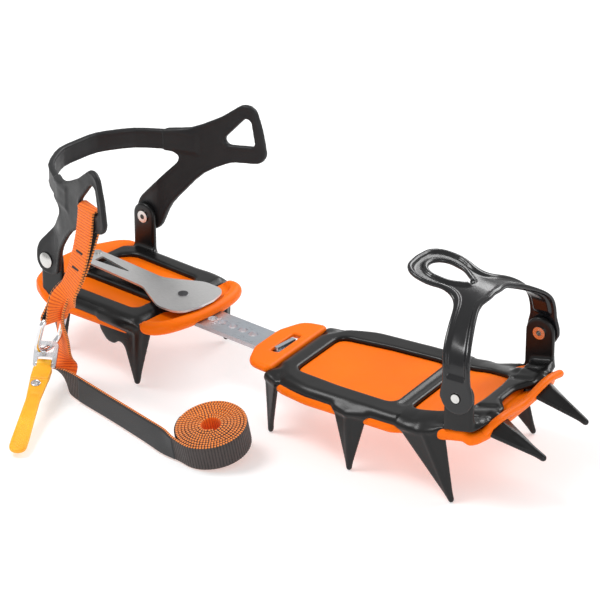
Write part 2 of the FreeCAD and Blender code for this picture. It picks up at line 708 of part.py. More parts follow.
def buckle_plate():
    """Small steel plate that hangs from the ring; its fork carries the bar of the pull tab."""
    reach = 4.3
    flat = slab([(0.0, 7.0, 3.0), (0.0, -7.0, 3.0), (15.0, -6.4, 1.2), (15.0, 6.4, 1.2)], -0.9, 0.9)
    flat = flat.cut(slab([(2.2, 4.4, 1.6), (2.2, -4.4, 1.6), (6.6, -4.4, 1.6), (6.6, 4.4, 1.6)], -3, 3))
    flat = flat.cut(box(9.0, 20.0, -4.2, 4.2, -3, 3))
    bar = cross_cylinder(reach + PLATE_TO_BAR, 0, TAB_BAR, -5.0, 5.0)
    along, across = plate_axes()
    start = ring_bottom() - along * reach
    return framed(tidy(flat.fuse(bar)), tuple(start), tuple(along), tuple(along.cross(across)))


def pull_tab():
    """Moulded tongue on the buckle's bar, for pulling the buckle open."""
    _, across = plate_axes()
    run = Vector(*TAB_AIM) - tab_bar()
    barrel = cross_cylinder(0, 0, 2.4, -3.9, 3.9)
    tongue = slab([(0.0, 3.9, 0), (0.0, -3.9, 0), (3.4, -3.9, 0.5), (4.6, -5.4, 1.5), (18.0, -4.2, 8.0),
                   (TAB_LENGTH, -4.9, 4.7), (TAB_LENGTH, 4.9, 4.7), (18.0, 4.2, 8.0), (4.6, 5.4, 1.5),
                   (3.4, 3.9, 0.5)], -1.2, 1.2)
    tongue = tongue.cut(Part.makeCylinder(1.5, 6, Vector(TAB_EYE, 0, -3), Z_AXIS))
    tab = barrel.fuse(tongue).cut(cross_cylinder(0, 0, TAB_BAR + TURN_GAP, -9, 9))
    return framed(tidy(tab), tuple(tab_bar()), tuple(run), tuple(run.cross(across)))


# Strap tail, laid on the ground: middle line of the stretch that stands on its edge, before the swing.
TAIL_TOP = (-123.5, -60.0, 37.2)
TAIL_FOOT = (-123.5, -60.0, 9.0)
ROLL_CENTRE = (-12.5, -67.0)


def strap_drop():
    """Single webbing from the loop down to the ground, inside the buckle."""
    return box(TAIL_TOP[0] - STRAP_WIDTH / 2, TAIL_TOP[0] + STRAP_WIDTH / 2, TAIL_TOP[1] - STRAP_THICK / 2,
               TAIL_TOP[1] + STRAP_THICK / 2, TAIL_FOOT[2], TAIL_TOP[2])


def run_start():
    return Vector(TAIL_FOOT[0], TAIL_FOOT[1] - STRAP_THICK, 0.4)


def run_end():
    return Vector(ROLL_CENTRE[0] - 4.0, ROLL_CENTRE[1] - ROLL_RADIUS - STRAP_THICK / 4, 0.4)


def strap_run():
    """Webbing that stands on its edge from the foot of the drop to the roll."""
    run = run_end() - run_start()
    flat = box(0, run.Length, -STRAP_THICK / 2, STRAP_THICK / 2, 0, STRAP_WIDTH)
    return framed(flat, tuple(run_start()), tuple(run), (0, 0, 1))


def strap_label():
    """Blank label on the outer face of the standing webbing."""
    run = run_end() - run_start()
    start = run.Length * 0.22
    flat = box(start, start + 62.0, -STRAP_THICK / 2 - 0.5, -STRAP_THICK / 2, 1.0, STRAP_WIDTH - 1.0)
    return framed(flat, tuple(run_start()), tuple(run), (0, 0, 1))


def strap_roll():
    """Outer shape of the rolled-up end of the strap, leaning on the edge nearest the front."""
    roll = Part.makeCylinder(ROLL_RADIUS, STRAP_WIDTH, Vector(0, 0, 0), Z_AXIS)
    roll.rotate(Vector(0, 0, 0), Vector(1, 0, 0), ROLL_TILT)
    roll.translate(Vector(ROLL_CENTRE[0], ROLL_CENTRE[1], 0))
    roll.translate(Vector(0, 0, 0.2 - roll.BoundBox.ZMin))
    return roll


STRAP_NODES = ("strap_loop", "strap_drop", "strap_run", "strap_label", "strap_roll",
               "buckle_ring", "buckle_plate", "pull_tab")


def build():
    """Every piece, in the working axes."""
    parts = {}
    frame = front_frame()
    parts["front_frame"] = frame
    parts["front_antiball_plate"] = notched(front_plate(), FRONT_NOTCHES, frame)
    parts["toe_cage"] = toe_cage()
    toe = rivet(TOE_RIVET_X, TOE_RIVET_Z, TOE_POST_IN, ARM_THICK)
    parts["toe_rivet_left"] = toe
    parts["toe_rivet_right"] = mirrored(toe)

    rear = {}
    rear["link_bar"] = link_bar()
    heel = heel_frame()
    rear["heel_frame"] = heel
    rear["heel_antiball_plate"] = heel_plate(heel)
    rear["bar_guide"] = bar_guide()
    rear["adjuster_leaf"] = adjuster_leaf()
    rear["adjuster_pin"] = adjuster_pin()
    rear["leaf_rivet_left"] = leaf_rivet(LEAF_RIVET_Y)
    rear["leaf_rivet_right"] = leaf_rivet(-LEAF_RIVET_Y)
    harness = heel_harness()
    rear["heel_harness"] = harness
    heel_pin = rivet(HEEL_RIVET_X, HEEL_RIVET_Z, HEEL_POST_IN, HARNESS_THICK)
    rear["heel_rivet_left"] = heel_pin
    rear["heel_rivet_right"] = mirrored(heel_pin)
    rear["strap_loop"] = strap_loop(harness)
    rear["strap_drop"] = strap_drop()
    roll = strap_roll()
    rear["strap_run"] = tidy(strap_run().cut(roll))
    rear["strap_label"] = strap_label()
    rear["strap_roll"] = roll
    rear["buckle_ring"] = buckle_ring()
    rear["buckle_plate"] = buckle_plate()
    rear["pull_tab"] = pull_tab()
    for name, shape in rear.items():
        parts[name] = behind_hook(shape)
    return parts


def origin_shift(parts):
    """From the working origin to the middle of the crampon's footprint, its strap left out."""
    whole = None
    for name, shape in parts.items():
        if name in STRAP_NODES:
            continue
        if whole is None:
            whole = FreeCAD.BoundBox(shape.BoundBox)
        else:
            whole.add(shape.BoundBox)
    return Vector(-whole.Center.x, -whole.Center.y, -whole.ZMin)


def main():
    os.makedirs("parts", exist_ok=True)
    parts = build()
    shift = origin_shift(parts)
    for name, shape in parts.items():
        moved = shape.copy()
        moved.translate(shift)
        moved.exportStep("parts/" + name + ".step")
        print(name, len(moved.Solids), moved.isValid(), round(moved.Volume))
    print("shift", shift)


if __name__ == "__main__":
    main()
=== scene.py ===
"""Looks of the strap-on crampon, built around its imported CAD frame."""

import math

import bpy
import numpy as np
from mathutils import Matrix, Vector, noise


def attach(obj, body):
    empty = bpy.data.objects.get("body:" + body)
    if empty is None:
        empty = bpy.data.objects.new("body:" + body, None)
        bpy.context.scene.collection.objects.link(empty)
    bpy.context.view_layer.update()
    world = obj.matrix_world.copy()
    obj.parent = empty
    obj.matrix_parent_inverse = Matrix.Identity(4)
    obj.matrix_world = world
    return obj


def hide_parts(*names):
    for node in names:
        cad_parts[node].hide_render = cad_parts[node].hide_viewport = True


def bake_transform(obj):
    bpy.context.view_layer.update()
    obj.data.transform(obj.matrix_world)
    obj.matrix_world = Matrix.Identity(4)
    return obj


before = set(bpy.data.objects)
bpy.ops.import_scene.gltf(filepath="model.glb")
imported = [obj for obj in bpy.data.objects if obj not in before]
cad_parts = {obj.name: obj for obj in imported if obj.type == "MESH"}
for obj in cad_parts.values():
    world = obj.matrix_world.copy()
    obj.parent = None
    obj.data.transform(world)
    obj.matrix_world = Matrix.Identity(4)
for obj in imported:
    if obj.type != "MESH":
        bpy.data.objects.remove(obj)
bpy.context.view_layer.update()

# ---- the model's own axes, millimetres ----
MM = 0.001
SHIFT = Vector((9.806, -10.983, 0))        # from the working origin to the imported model's origin
HOOK = Vector((-11, 0, 0))                 # where the bar hooks into the front section
BAR_SWING = math.radians(-8.4)             # turn of the bar and the heel section about the hook
FRONT = Matrix.Scale(MM, 4) @ Matrix.Translation(SHIFT)
HEEL = FRONT @ Matrix.Translation(HOOK) @ Matrix.Rotation(BAR_SWING, 4, "Z") @ Matrix.Translation(-HOOK)
CIRCLE = 2 * math.pi
TINY = 1e-4

# ---- camera, light and floor ----
CAMERA_AT = Vector((797.5, -1251.8, 787.8))
CAMERA_AIM = Vector((0, 0, 40))
CAMERA_YAW = math.radians(0.070077328)
CAMERA_PITCH = math.radians(0.858195133)
SENSOR_WIDTH = 36
LENS = 182.49
WHITE = (1, 1, 1, 1)
SKY_STRENGTH = 0.55
# Name, place, aim and size in metres, power.
LIGHTS = [
    ("key", (-0.55, -0.35, 1.15), (0, 0, 0.03), (0.5, 0.5), 8.5),
    ("rim", (0.25, 0.95, 0.75), (0, 0, 0.05), (1.1, 0.35), 8),
    ("front", (1.1, -0.9, 0.55), (0, 0, 0.05), (0.4, 0.9), 3.5),
]
FLOOR_SIZE = 8
FLOOR_LEVEL = -0.0002


def place_camera():
    """Long lens above the ground in front of the toes, turned up a little so that the model sits low."""
    place = FRONT @ CAMERA_AT
    data = bpy.data.cameras.new("camera")
    data.sensor_width = SENSOR_WIDTH
    data.lens = LENS
    data.clip_start = 0.05
    data.clip_end = 20
    camera = bpy.data.objects.new("camera", data)
    bpy.context.collection.objects.link(camera)
    aim = (FRONT @ CAMERA_AIM - place).to_track_quat("-Z", "Y").to_matrix().to_4x4()
    yaw = Matrix.Rotation(CAMERA_YAW, 4, "Y")
    pitch = Matrix.Rotation(CAMERA_PITCH, 4, "X")
    camera.matrix_world = Matrix.Translation(place) @ aim @ yaw @ pitch
    bpy.context.scene.camera = camera


def area_light(name, place, aim, size, power):
    data = bpy.data.lights.new(name, "AREA")
    data.shape = "RECTANGLE"
    data.size, data.size_y = size
    data.energy = power
    light = bpy.data.objects.new(name, data)
    bpy.context.collection.objects.link(light)
    light.location = place
    light.rotation_euler = (Vector(aim) - Vector(place)).to_track_quat("-Z", "Y").to_euler()


def make_studio():
    world = bpy.data.worlds.new("studio")
    bpy.context.scene.world = world
    world.use_nodes = True
    background = world.node_tree.nodes["Background"]
    background.inputs["Color"].default_value = WHITE
    background.inputs["Strength"].default_value = SKY_STRENGTH
    for light in LIGHTS:
        area_light(*light)
    bpy.context.scene.view_settings.view_transform = "Standard"
    bpy.context.scene.view_settings.look = "None"
    bpy.ops.mesh.primitive_plane_add(size=FLOOR_SIZE, location=(0, 0, FLOOR_LEVEL))
    floor = bpy.context.object
    floor.name = "floor"
    floor.data.materials.append(floor_material())


# ---- materials ----
STREAK_SHADE = 0.8           # dark streaks in brushed steel, as a share of its colour


def material(name):
    made = bpy.data.materials.new(name)
    made.use_nodes = True
    tree = made.node_tree
    return made, tree, tree.nodes["Principled BSDF"]


def give(tree, node, inputs):
    """Sets a node's inputs, or links them where the value comes from another node."""
    for key, value in inputs.items():
        if isinstance(value, bpy.types.NodeSocket):
            tree.links.new(value, node.inputs[key])
        else:
            node.inputs[key].default_value = value


def add(tree, kind, inputs, **settings):
    node = tree.nodes.new(kind)
    for key, value in settings.items():
        setattr(node, key, value)
    give(tree, node, inputs)
    return node


def coords(tree, scale=(1, 1, 1)):
    """Object coordinates in metres, scaled."""
    source = add(tree, "ShaderNodeTexCoord", {})
    mapping = add(tree, "ShaderNodeMapping", {"Scale": scale, "Vector": source.outputs["Object"]})
    return mapping.outputs["Vector"]


def noise_node(tree, vector, scale, detail=3, roughness=0.5):
    inputs = {"Scale": scale, "Detail": detail, "Roughness": roughness, "Vector": vector}
    return add(tree, "ShaderNodeTexNoise", inputs).outputs["Fac"]


def ramp(tree, source, stops):
    node = add(tree, "ShaderNodeValToRGB", {"Fac": source})
    elements = node.color_ramp.elements
    while len(elements) < len(stops):
        elements.new(0.5)
    for element, (place, colour) in zip(elements, stops):
        element.position = place
        element.color = tuple(colour) + (1,)
    return node.outputs["Color"]


def grey(value):
    return (value, value, value)


def bump(tree, shader, height, distance, strength):
    node = add(tree, "ShaderNodeBump", {"Strength": strength, "Distance": distance, "Height": height})
    if shader.inputs["Normal"].links:
        tree.links.new(shader.inputs["Normal"].links[0].from_socket, node.inputs["Normal"])
    tree.links.new(node.outputs["Normal"], shader.inputs["Normal"])


def maths(tree, operation, first, second=None):
    inputs = {0: first} if second is None else {0: first, 1: second}
    return add(tree, "ShaderNodeMath", inputs, operation=operation).outputs[0]


def floor_material():
    """White ground that glows a little, which keeps the shadows faint."""
    made, tree, shader = material("floor_white")
    tint = ramp(tree, noise_node(tree, coords(tree), 3), [(0.3, grey(0.66)), (0.7, grey(0.69))])
    give(tree, shader, {
        "Base Color": tint, "Emission Color": WHITE, "Emission Strength": 0.42,
        "Roughness": 0.75, "Specular IOR Level": 0.2,
    })
    return made


def coated_steel():
    """Black powder coat on folded sheet: fine orange peel over broader ripples."""
    made, tree, shader = material("black_coated_steel")
    vector = coords(tree)
    cloud = noise_node(tree, vector, 60, 4)
    base = ramp(tree, cloud, [(0.3, (0.004, 0.004, 0.0042)), (0.7, (0.0085, 0.008, 0.008))])
    rough = ramp(tree, cloud, [(0.25, grey(0.26)), (0.75, grey(0.36))])
    give(tree, shader, {"Base Color": base, "Roughness": rough, "Specular IOR Level": 0.36})
    bump(tree, shader, noise_node(tree, vector, 1600, 2), 0.00006, 0.35)
    bump(tree, shader, noise_node(tree, vector, 240), 0.00015, 0.3)
    return made


def moulded(name, colours, cloud, gloss, patch, grain, inputs):
    """Moulded surface: clouded colour, patchy gloss and a fine grain.

    colours and gloss run from low to high; cloud and patch are the scales on which they vary;
    grain is its scale, its depth in metres and its strength.
    """
    made, tree, shader = material(name)
    vector = coords(tree)
    base = ramp(tree, noise_node(tree, vector, cloud), [(0.3, colours[0]), (0.7, colours[1])])
    rough = ramp(tree, noise_node(tree, vector, patch), [(0.3, grey(gloss[0])), (0.7, grey(gloss[1]))])
    give(tree, shader, {"Base Color": base, "Roughness": rough})
    give(tree, shader, inputs)
    scale, depth, strength = grain
    bump(tree, shader, noise_node(tree, vector, scale, 2), depth, strength)
    return made


def steel(name, colour, gloss, brush=(1, 1, 1), brush_scale=300, depth=0.00002, metal=1):
    """Bare or plated steel, brushed along the direction in which brush is smallest."""
    made, tree, shader = material(name)
    vector = coords(tree)
    streaks = noise_node(tree, coords(tree, brush), brush_scale, 4, 0.6)
    dark = tuple(c * STREAK_SHADE for c in colour)
    base = ramp(tree, streaks, [(0.25, dark), (0.75, colour)])
    blotch = noise_node(tree, vector, 40)
    patches = maths(tree, "MULTIPLY", maths(tree, "ADD", streaks, blotch), 0.5)
    rough = ramp(tree, patches, [(0.35, grey(gloss[0])), (0.65, grey(gloss[1]))])
    give(tree, shader, {"Base Color": base, "Metallic": metal, "Roughness": rough})
    bump(tree, shader, streaks, depth, 0.5)
    return made


def rib_wave(tree):
    """Place across the webbing, and a wave that peaks on each of its ribs."""
    uv = add(tree, "ShaderNodeUVMap", {}, uv_map="UVMap")
    split = add(tree, "ShaderNodeSeparateXYZ", {"Vector": uv.outputs["UV"]})
    along = maths(tree, "MULTIPLY", split.outputs["Y"], CIRCLE / RIB_PITCH)
    return split.outputs["X"], maths(tree, "COSINE", along)


def webbing_material(name, yarn, groove_shade, grain):
    """One face of ribbed webbing. The ribs are in the mesh; this adds the yarns that make them up, and painted
    shade that darkens the colour in the lows between the ribs.
    """
    made, tree, shader = material(name)
    across, ribs = rib_wave(tree)
    yarns = maths(tree, "SINE", maths(tree, "MULTIPLY", across, CIRCLE * YARNS))
    weave = maths(tree, "MULTIPLY", yarns, 0.35)
    height = maths(tree, "ADD", maths(tree, "MULTIPLY", ribs, 0.65), weave)
    shade = maths(tree, "ADD", maths(tree, "MULTIPLY", height, 0.5), 0.5)
    fuzz = noise_node(tree, coords(tree), 900)
    flecks = maths(tree, "MULTIPLY", maths(tree, "SUBTRACT", fuzz, 0.5), grain)
    # Painted shade: the lows between ribs and yarns take the darker groove colour, the high places the yarn
    # colour.
    colour = ramp(tree, maths(tree, "ADD", shade, flecks), [(0.12, groove_shade), (0.55, yarn)])
    give(tree, shader, {
        "Base Color": colour, "Roughness": 0.72, "Sheen Weight": 0.1, "Sheen Roughness": 0.5,
    })
    bump(tree, shader, height, 0.00012, 0.6)
    bump(tree, shader, fuzz, 0.0001, 0.3)
    return made


def selvedge_material():
    """Edge of the webbing: orange binding yarn with dark dots where the other face comes round."""
    made, tree, shader = material("webbing_selvedge")
    ribs = rib_wave(tree)[1]
    fuzz = noise_node(tree, coords(tree), 1100)
    value = maths(tree, "ADD", maths(tree, "MULTIPLY", ribs, 0.45), fuzz)
    stops = [(0.1, (0.05, 0.02, 0.01)), (0.45, (0.7, 0.17, 0.02)), (0.9, (0.93, 0.27, 0.035))]
    give(tree, shader, {"Base Color": ramp(tree, value, stops), "Roughness": 0.8, "Sheen Weight": 0.2})
    bump(tree, shader, value, 0.00015, 0.6)
    return made


def label_material():
    """Blank woven cloth: very fine twill."""
    made, tree, shader = material("label_cloth")
    inputs = {"Scale": 900, "Distortion": 0.6, "Vector": coords(tree)}
    wave = add(tree, "ShaderNodeTexWave", inputs, wave_type="BANDS", bands_direction="DIAGONAL")
    twill = wave.outputs["Fac"]
    colour = ramp(tree, twill, [(0.2, (0.01, 0.01, 0.011)), (0.8, (0.022, 0.022, 0.024))])
    give(tree, shader, {"Base Color": colour, "Roughness": 0.5})
    bump(tree, shader, twill, 0.00005, 0.5)
    return made


# ---- mesh helpers ----
EDGE_ANGLE = math.radians(35)


def mesh_piece(name, verts, faces, matrix, materials):
    """Smooth-shaded mesh; the matrix takes its millimetres to the scene's metres."""
    mesh = bpy.data.meshes.new(name)
    mesh.from_pydata([tuple(matrix @ Vector(v)) for v in verts], [], faces)
    mesh.update()
    piece = bpy.data.objects.new(name, mesh)
    bpy.context.collection.objects.link(piece)
    for one in materials:
        mesh.materials.append(one)
    for polygon in mesh.polygons:
        polygon.use_smooth = True
    return piece


def paint(node, made, bevel):
    """Gives a CAD node its material and eases its edges by this many metres."""
    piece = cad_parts[node]
    piece.data.materials.clear()
    piece.data.materials.append(made)
    if bevel:
        ease = piece.modifiers.new("ease", "BEVEL")
        ease.width = bevel
        ease.segments = 2
        ease.limit_method = "ANGLE"
        ease.angle_limit = EDGE_ANGLE
        ease.harden_normals = False


def spline_points(name, controls, per_span=24):
    """Points along the smooth NURBS curve that has these control points."""
    curve = bpy.data.curves.new(name, "CURVE")
    curve.dimensions = "3D"
    curve.resolution_u = per_span
    spline = curve.splines.new("NURBS")
    spline.points.add(len(controls) - 1)
    for point, place in zip(spline.points, controls):
        point.co = tuple(place) + (1,)
    spline.order_u = 3
    spline.use_endpoint_u = True
    holder = bpy.data.objects.new(name, curve)
    bpy.context.collection.objects.link(holder)
    graph = bpy.context.evaluated_depsgraph_get()
    mesh = bpy.data.meshes.new_from_object(holder.evaluated_get(graph))
    points = [v.co.copy() for v in mesh.vertices]
    bpy.data.objects.remove(holder)
    bpy.data.meshes.remove(mesh)
    return points


# ---- shapes as signed distances on a grid, millimetres ----
FAR = 6
STRAIGHT = math.radians(89.5)
ARC_STEP = 12                # degrees of arc between points of an outline
RELAX = 0.6


def smooth_min(a, b, blend):
    if blend <= 0:
        return np.minimum(a, b)
    share = np.maximum(blend - np.abs(a - b), 0) / blend
    return np.minimum(a, b) - share * share * blend * 0.25


def smooth_max(a, b, blend):
    return -smooth_min(-a, -b, blend)


def length(*parts):
    return np.sqrt(sum(part * part for part in parts))


def step_up(value, low, high):
    share = np.clip((value - low) / (high - low), 0, 1)
    return share * share * (3 - 2 * share)


def rounded(corners, closed=True):
    """Outline through (x, y, radius) corners, each eased by a tangent arc."""
    result = []
    for i, (x, y, radius) in enumerate(corners):
        here = Vector((x, y))
        if radius <= 0 or (not closed and i in (0, len(corners) - 1)):
            result.append((x, y))
            continue
        back = (Vector(corners[i - 1][:2]) - here).normalized()
        ahead = (Vector(corners[(i + 1) % len(corners)][:2]) - here).normalized()
        half = back.angle(ahead) / 2
        if half > STRAIGHT:
            result.append((x, y))
            continue
        centre = here + (back + ahead).normalized() * (radius / math.sin(half))
        first = here + back * (radius / math.tan(half)) - centre
        last = here + ahead * (radius / math.tan(half)) - centre
        sweep = first.angle(last)
        count = max(2, int(math.degrees(sweep) / ARC_STEP))
        for k in range(count + 1):
            t = k / count
            spoke = first * math.sin((1 - t) * sweep) + last * math.sin(t * sweep)
            result.append(tuple(centre + spoke / math.sin(sweep)))
    return result


def outline(x, y, points):
    """Distance to a closed outline, negative inside."""
    nearest = np.float32(1e9)
    inside = False
    for (ax, ay), (bx, by) in zip(points, points[1:] + points[:1]):
        ex, ey = bx - ax, by - ay
        size = ex * ex + ey * ey
        if size < 1e-9:
            continue
        t = np.clip(((x - ax) * ex + (y - ay) * ey) / size, 0, 1)
        nearest = np.minimum(nearest, (x - ax - t * ex) ** 2 + (y - ay - t * ey) ** 2)
        if ay != by:
            inside = inside ^ (((ay > y) != (by > y)) & (x < ex * (y - ay) / ey + ax))
    return np.where(inside, -1, 1) * np.sqrt(nearest)


def both_sides(x, y, half):
    """Distance to the outline of which these corners are one half."""
    return outline(x, y, rounded(half + [(a, -b, radius) for a, b, radius in reversed(half) if b]))


def along_line(x, y, points, *values):
    """Signed distance to an open line, positive on its left, and the values it carries at the nearest spot."""
    nearest = np.full(np.broadcast(x, y).shape, 1e9)
    side = np.zeros(nearest.shape)
    carried = [np.zeros(nearest.shape) for _ in values]
    for i, ((ax, ay), (bx, by)) in enumerate(zip(points, points[1:])):
        ex, ey = bx - ax, by - ay
        size = ex * ex + ey * ey
        t = np.clip(((x - ax) * ex + (y - ay) * ey) / size, 0, 1)
        gap = (x - ax - t * ex) ** 2 + (y - ay - t * ey) ** 2
        closer = gap < nearest
        nearest = np.where(closer, gap, nearest)
        side = np.where(closer, np.sign(ex * (y - ay) - ey * (x - ax)), side)
        for k, value in enumerate(values):
            carried[k] = np.where(closer, value[i] + t * (value[i + 1] - value[i]), carried[k])
    return [side * np.sqrt(nearest)] + carried


def rounded_both(a, b, radius):
    """Inside both distances, with the shared edge rounded."""
    a = a + radius
    b = b + radius
    return np.minimum(np.maximum(a, b), 0) + length(np.maximum(a, 0), np.maximum(b, 0)) - radius


def ball(p, centre, radii):
    """Ellipsoid, near enough for small lumps and dents."""
    q = [(p[k] - centre[k]) / radii[k] for k in range(3)]
    return (length(*q) - 1) * min(radii)


def rod(p, a, b, radius_a, radius_b=None):
    """Round bar between two points, tapering when it has two radii."""
    if radius_b is None:
        radius_b = radius_a
    e = [b[k] - a[k] for k in range(3)]
    t = np.clip(sum((p[k] - a[k]) * e[k] for k in range(3)) / sum(c * c for c in e), 0, 1)
    return length(*[p[k] - a[k] - t * e[k] for k in range(3)]) - (radius_a + t * (radius_b - radius_a))


def facet(p, corners, thick):
    """Flat three-cornered piece of sheet with rounded edges."""
    corners = [np.array(c, float) for c in corners]
    normal = np.cross(corners[1] - corners[0], corners[2] - corners[1])
    normal /= np.linalg.norm(normal)
    nearest = np.float32(1e9)
    inside = True
    for i in range(3):
        a = corners[i]
        e = corners[(i + 1) % 3] - a
        w = [p[k] - a[k] for k in range(3)]
        t = np.clip(sum(w[k] * e[k] for k in range(3)) / e.dot(e), 0, 1)
        nearest = np.minimum(nearest, sum((w[k] - t * e[k]) ** 2 for k in range(3)))
        away = np.cross(e, normal)
        inside = inside & (sum(w[k] * away[k] for k in range(3)) <= 0)
    plane = sum((p[k] - corners[0][k]) * normal[k] for k in range(3)) ** 2
    return np.sqrt(np.where(inside, plane, nearest)) - thick / 2


class Solid:
    """A shape sampled on a grid; a mirrored one is modelled on its -Y half, up to y = 0."""

    def __init__(self, low, high, step, mirror=False):
        self.step = step
        self.mirror = mirror
        self.low = np.array(low, float)
        counts = np.ceil((np.array(high, float) - self.low) / step).astype(int) + 1
        if mirror:
            self.low[1] = -step * (counts[1] - 1)
        self.values = np.full(counts, FAR, np.float32)

    def window(self, low, high):
        first = np.clip(np.floor((np.array(low) - self.low) / self.step).astype(int), 0, self.values.shape)
        last = np.clip(np.ceil((np.array(high) - self.low) / self.step).astype(int) + 1, 0, self.values.shape)
        cut = tuple(slice(a, b) for a, b in zip(first, last))
        line = [self.low[k] + self.step * np.arange(first[k], last[k]) for k in range(3)]
        return cut, (line[0][:, None, None], line[1][None, :, None], line[2][None, None, :])

    def everywhere(self):
        return self.window(self.low, self.low + self.step * np.array(self.values.shape))[1]

    def join(self, low, high, shape, blend=0):
        cut, p = self.window(low, high)
        self.values[cut] = smooth_min(self.values[cut], shape(p), blend)

    def cut(self, low, high, shape, blend=0):
        cut, p = self.window(low, high)
        self.values[cut] = smooth_max(self.values[cut], -shape(p), blend)

    def mesh(self, name, matrix, materials, passes=1):
        values = self.values
        if self.mirror:
            values = np.concatenate([values, values[:, -2::-1]], axis=1)
        verts, faces = surface_nets(values)
        verts = self.low + self.step * relaxed(verts, faces, passes)
        return mesh_piece(name, verts.tolist(), faces.tolist(), matrix, materials)


def surface_nets(values):
    """Quads over the zero level of a sampled shape, in grid units."""
    inside = values < 0
    sizes = values.shape
    total = np.zeros([n - 1 for n in sizes], np.int8)
    for corner in np.ndindex(2, 2, 2):
        total += inside[tuple(slice(c, n - 1 + c) for c, n in zip(corner, sizes))]
    active = (total > 0) & (total < 8)
    cells = np.argwhere(active)
    index = np.full(active.shape, -1, np.int64)
    index[active] = np.arange(len(cells))
    sums = np.zeros((len(cells), 3))
    hits = np.zeros(len(cells))
    for axis in range(3):
        unit = np.eye(3, dtype=int)[axis]
        for corner in np.ndindex(2, 2, 2):
            if corner[axis]:
                continue
            start = cells + np.array(corner)
            first = values[tuple(start.T)]
            second = values[tuple((start + unit).T)]
            crossed = (first < 0) != (second < 0)
            t = first[crossed] / (first[crossed] - second[crossed])
            sums[crossed] += start[crossed] + t[:, None] * unit
            hits[crossed] += 1
    faces = []
    for axis in range(3):
        b, c = (axis + 1) % 3, (axis + 2) % 3
        near = [slice(1, n - 1) for n in sizes]
        far = list(near)
        near[axis] = slice(0, sizes[axis] - 1)
        far[axis] = slice(1, sizes[axis])
        first = inside[tuple(near)]
        changed = np.argwhere(first != inside[tuple(far)])
        outward = first[tuple(changed.T)]
        place = changed + 1
        place[:, axis] -= 1
        step_b = np.eye(3, dtype=int)[b]
        step_c = np.eye(3, dtype=int)[c]
        ring = [index[tuple((place - shift).T)] for shift in (0 * step_b, step_b, step_b + step_c, step_c)]
        quad = np.stack(ring, axis=1)
        faces.append(np.where(outward[:, None], quad, quad[:, ::-1]))
    return sums / hits[:, None], np.concatenate(faces)


def relaxed(verts, faces, passes):
    """Evens out the small ripples that sampling leaves."""
    for _ in range(passes):
        middles = verts[faces].mean(axis=1)
        sums = np.zeros_like(verts)
        counts = np.zeros(len(verts))
        for k in range(4):
            for axis in range(3):
                sums[:, axis] += np.bincount(faces[:, k], middles[:, axis], len(verts))
            counts += np.bincount(faces[:, k], minlength=len(verts))
        verts = verts * (1 - RELAX) + sums / counts[:, None] * RELAX
    return verts


def fine_step(step):
    """Grid spacing in millimetres."""
    return step


# ---- shared features of the pressings and mouldings ----
STAMPED_HOLE = 2.6           # radius of the rivet holes in steel
MOULDED_HOLE = 2.7           # and in plastic
POINT_SHEET = 2.7            # thickness of the folded points


def rivet_hole(solid, place, radius):
    """Round hole across the model at this (x, z)."""
    x, z = place
    solid.cut((x - 3.5, -60, z - 4), (x + 3.5, 0, z + 4),
              lambda p: length(p[0] - x, p[2] - z) - radius)


def opened(shell, hole, z, level):
    """Cuts an opening and turns its edge down a little, to a lip whose middle is at this level."""
    shell = smooth_max(shell, -hole, 1.6)
    edge = rounded_both(np.abs(hole - 1) - 1, np.abs(z - level) - 1.6, 0.7)
    return smooth_min(shell, edge, 1)


def side_sheet(solid, low, high, corners, y, half, ease, blend):
    """Upright sheet along the model with this outline in (x, z)."""
    shape = rounded(corners)
    solid.join(low, high, lambda p: rounded_both(outline(p[0], p[2], shape), np.abs(p[1] - y) - half, ease),
               blend)


def block(solid, low, high, centre, halves, blend):
    """Box with eased edges on its top and bottom."""
    def shape(p):
        x, y, z = [np.abs(p[k] - centre[k]) - halves[k] for k in range(3)]
        return rounded_both(np.maximum(x, y), z, 0.8)

    solid.join(low, high, shape, blend)


def tube(solid, points, radius, margin, blend=0):
    """Round bead along a line of points."""
    for a, b in zip(points, points[1:]):
        if (b - a).length < TINY:
            continue
        low = [min(a[k], b[k]) - margin for k in range(3)]
        high = [max(a[k], b[k]) + margin for k in range(3)]
        solid.join(low, high, lambda p: rod(p, a, b, radius), blend)


def fang(solid, left, ridge, right, tip, blend):
    """Point of folded sheet: two facets that share a ridge and run out to a rounded tip."""
    def shape(p):
        near = facet(p, (left, ridge, tip), POINT_SHEET)
        far = facet(p, (ridge, right, tip), POINT_SHEET)
        return smooth_min(near, far, 1.2)

    box = np.array([left, ridge, right, tip], float)
    solid.join(box.min(axis=0) - FAR, box.max(axis=0) + FAR, shape, blend)


# ---- toe cage ----
RIVET_AT = (122.5, 63)
# One side of the arch, seen from the front and from the side: (|y|, z, middle x).
ARCH = [
    (46.65, 50, 122.5), (46.65, 63, 122.5), (46.65, 72, 122.2), (46.3, 78.2, 121.7),
    (45, 83.6, 120.8), (42.1, 88.5, 119.5), (37.6, 92.7, 117.8), (31.5, 96.4, 115.7),
    (24.6, 99.4, 113.4), (17, 101.8, 111.1), (9.4, 103.5, 108.8), (0, 104.2, 107),
    (-8, 104.2, 107),
]
CAGE_SHEET = 2.5
LEG_HALF = 8                 # half width of the arch's legs
LEG_HEAD = 9.3               # radius of their rivet ends
SUNK = 1.5                   # depth of the middle below the rims
CROWN_TILT = 0.19            # slope of the ring and of the arch's crown, down towards the toes
CROWN_COSINE = 0.974
RING_LEAN = math.radians(13)
RING_AT = (88, 107.7)
RING_OUTLINE = [(-18, 0, 16), (-16.4, 17, 12), (1, 19.4, 15), (12, 13, 18), (21, 7, 8), (26, 6, 3)]
RING_HOLE = [(-8.8, 9, 8), (6, 7.8, 8), (13.5, 2.2, 2)]


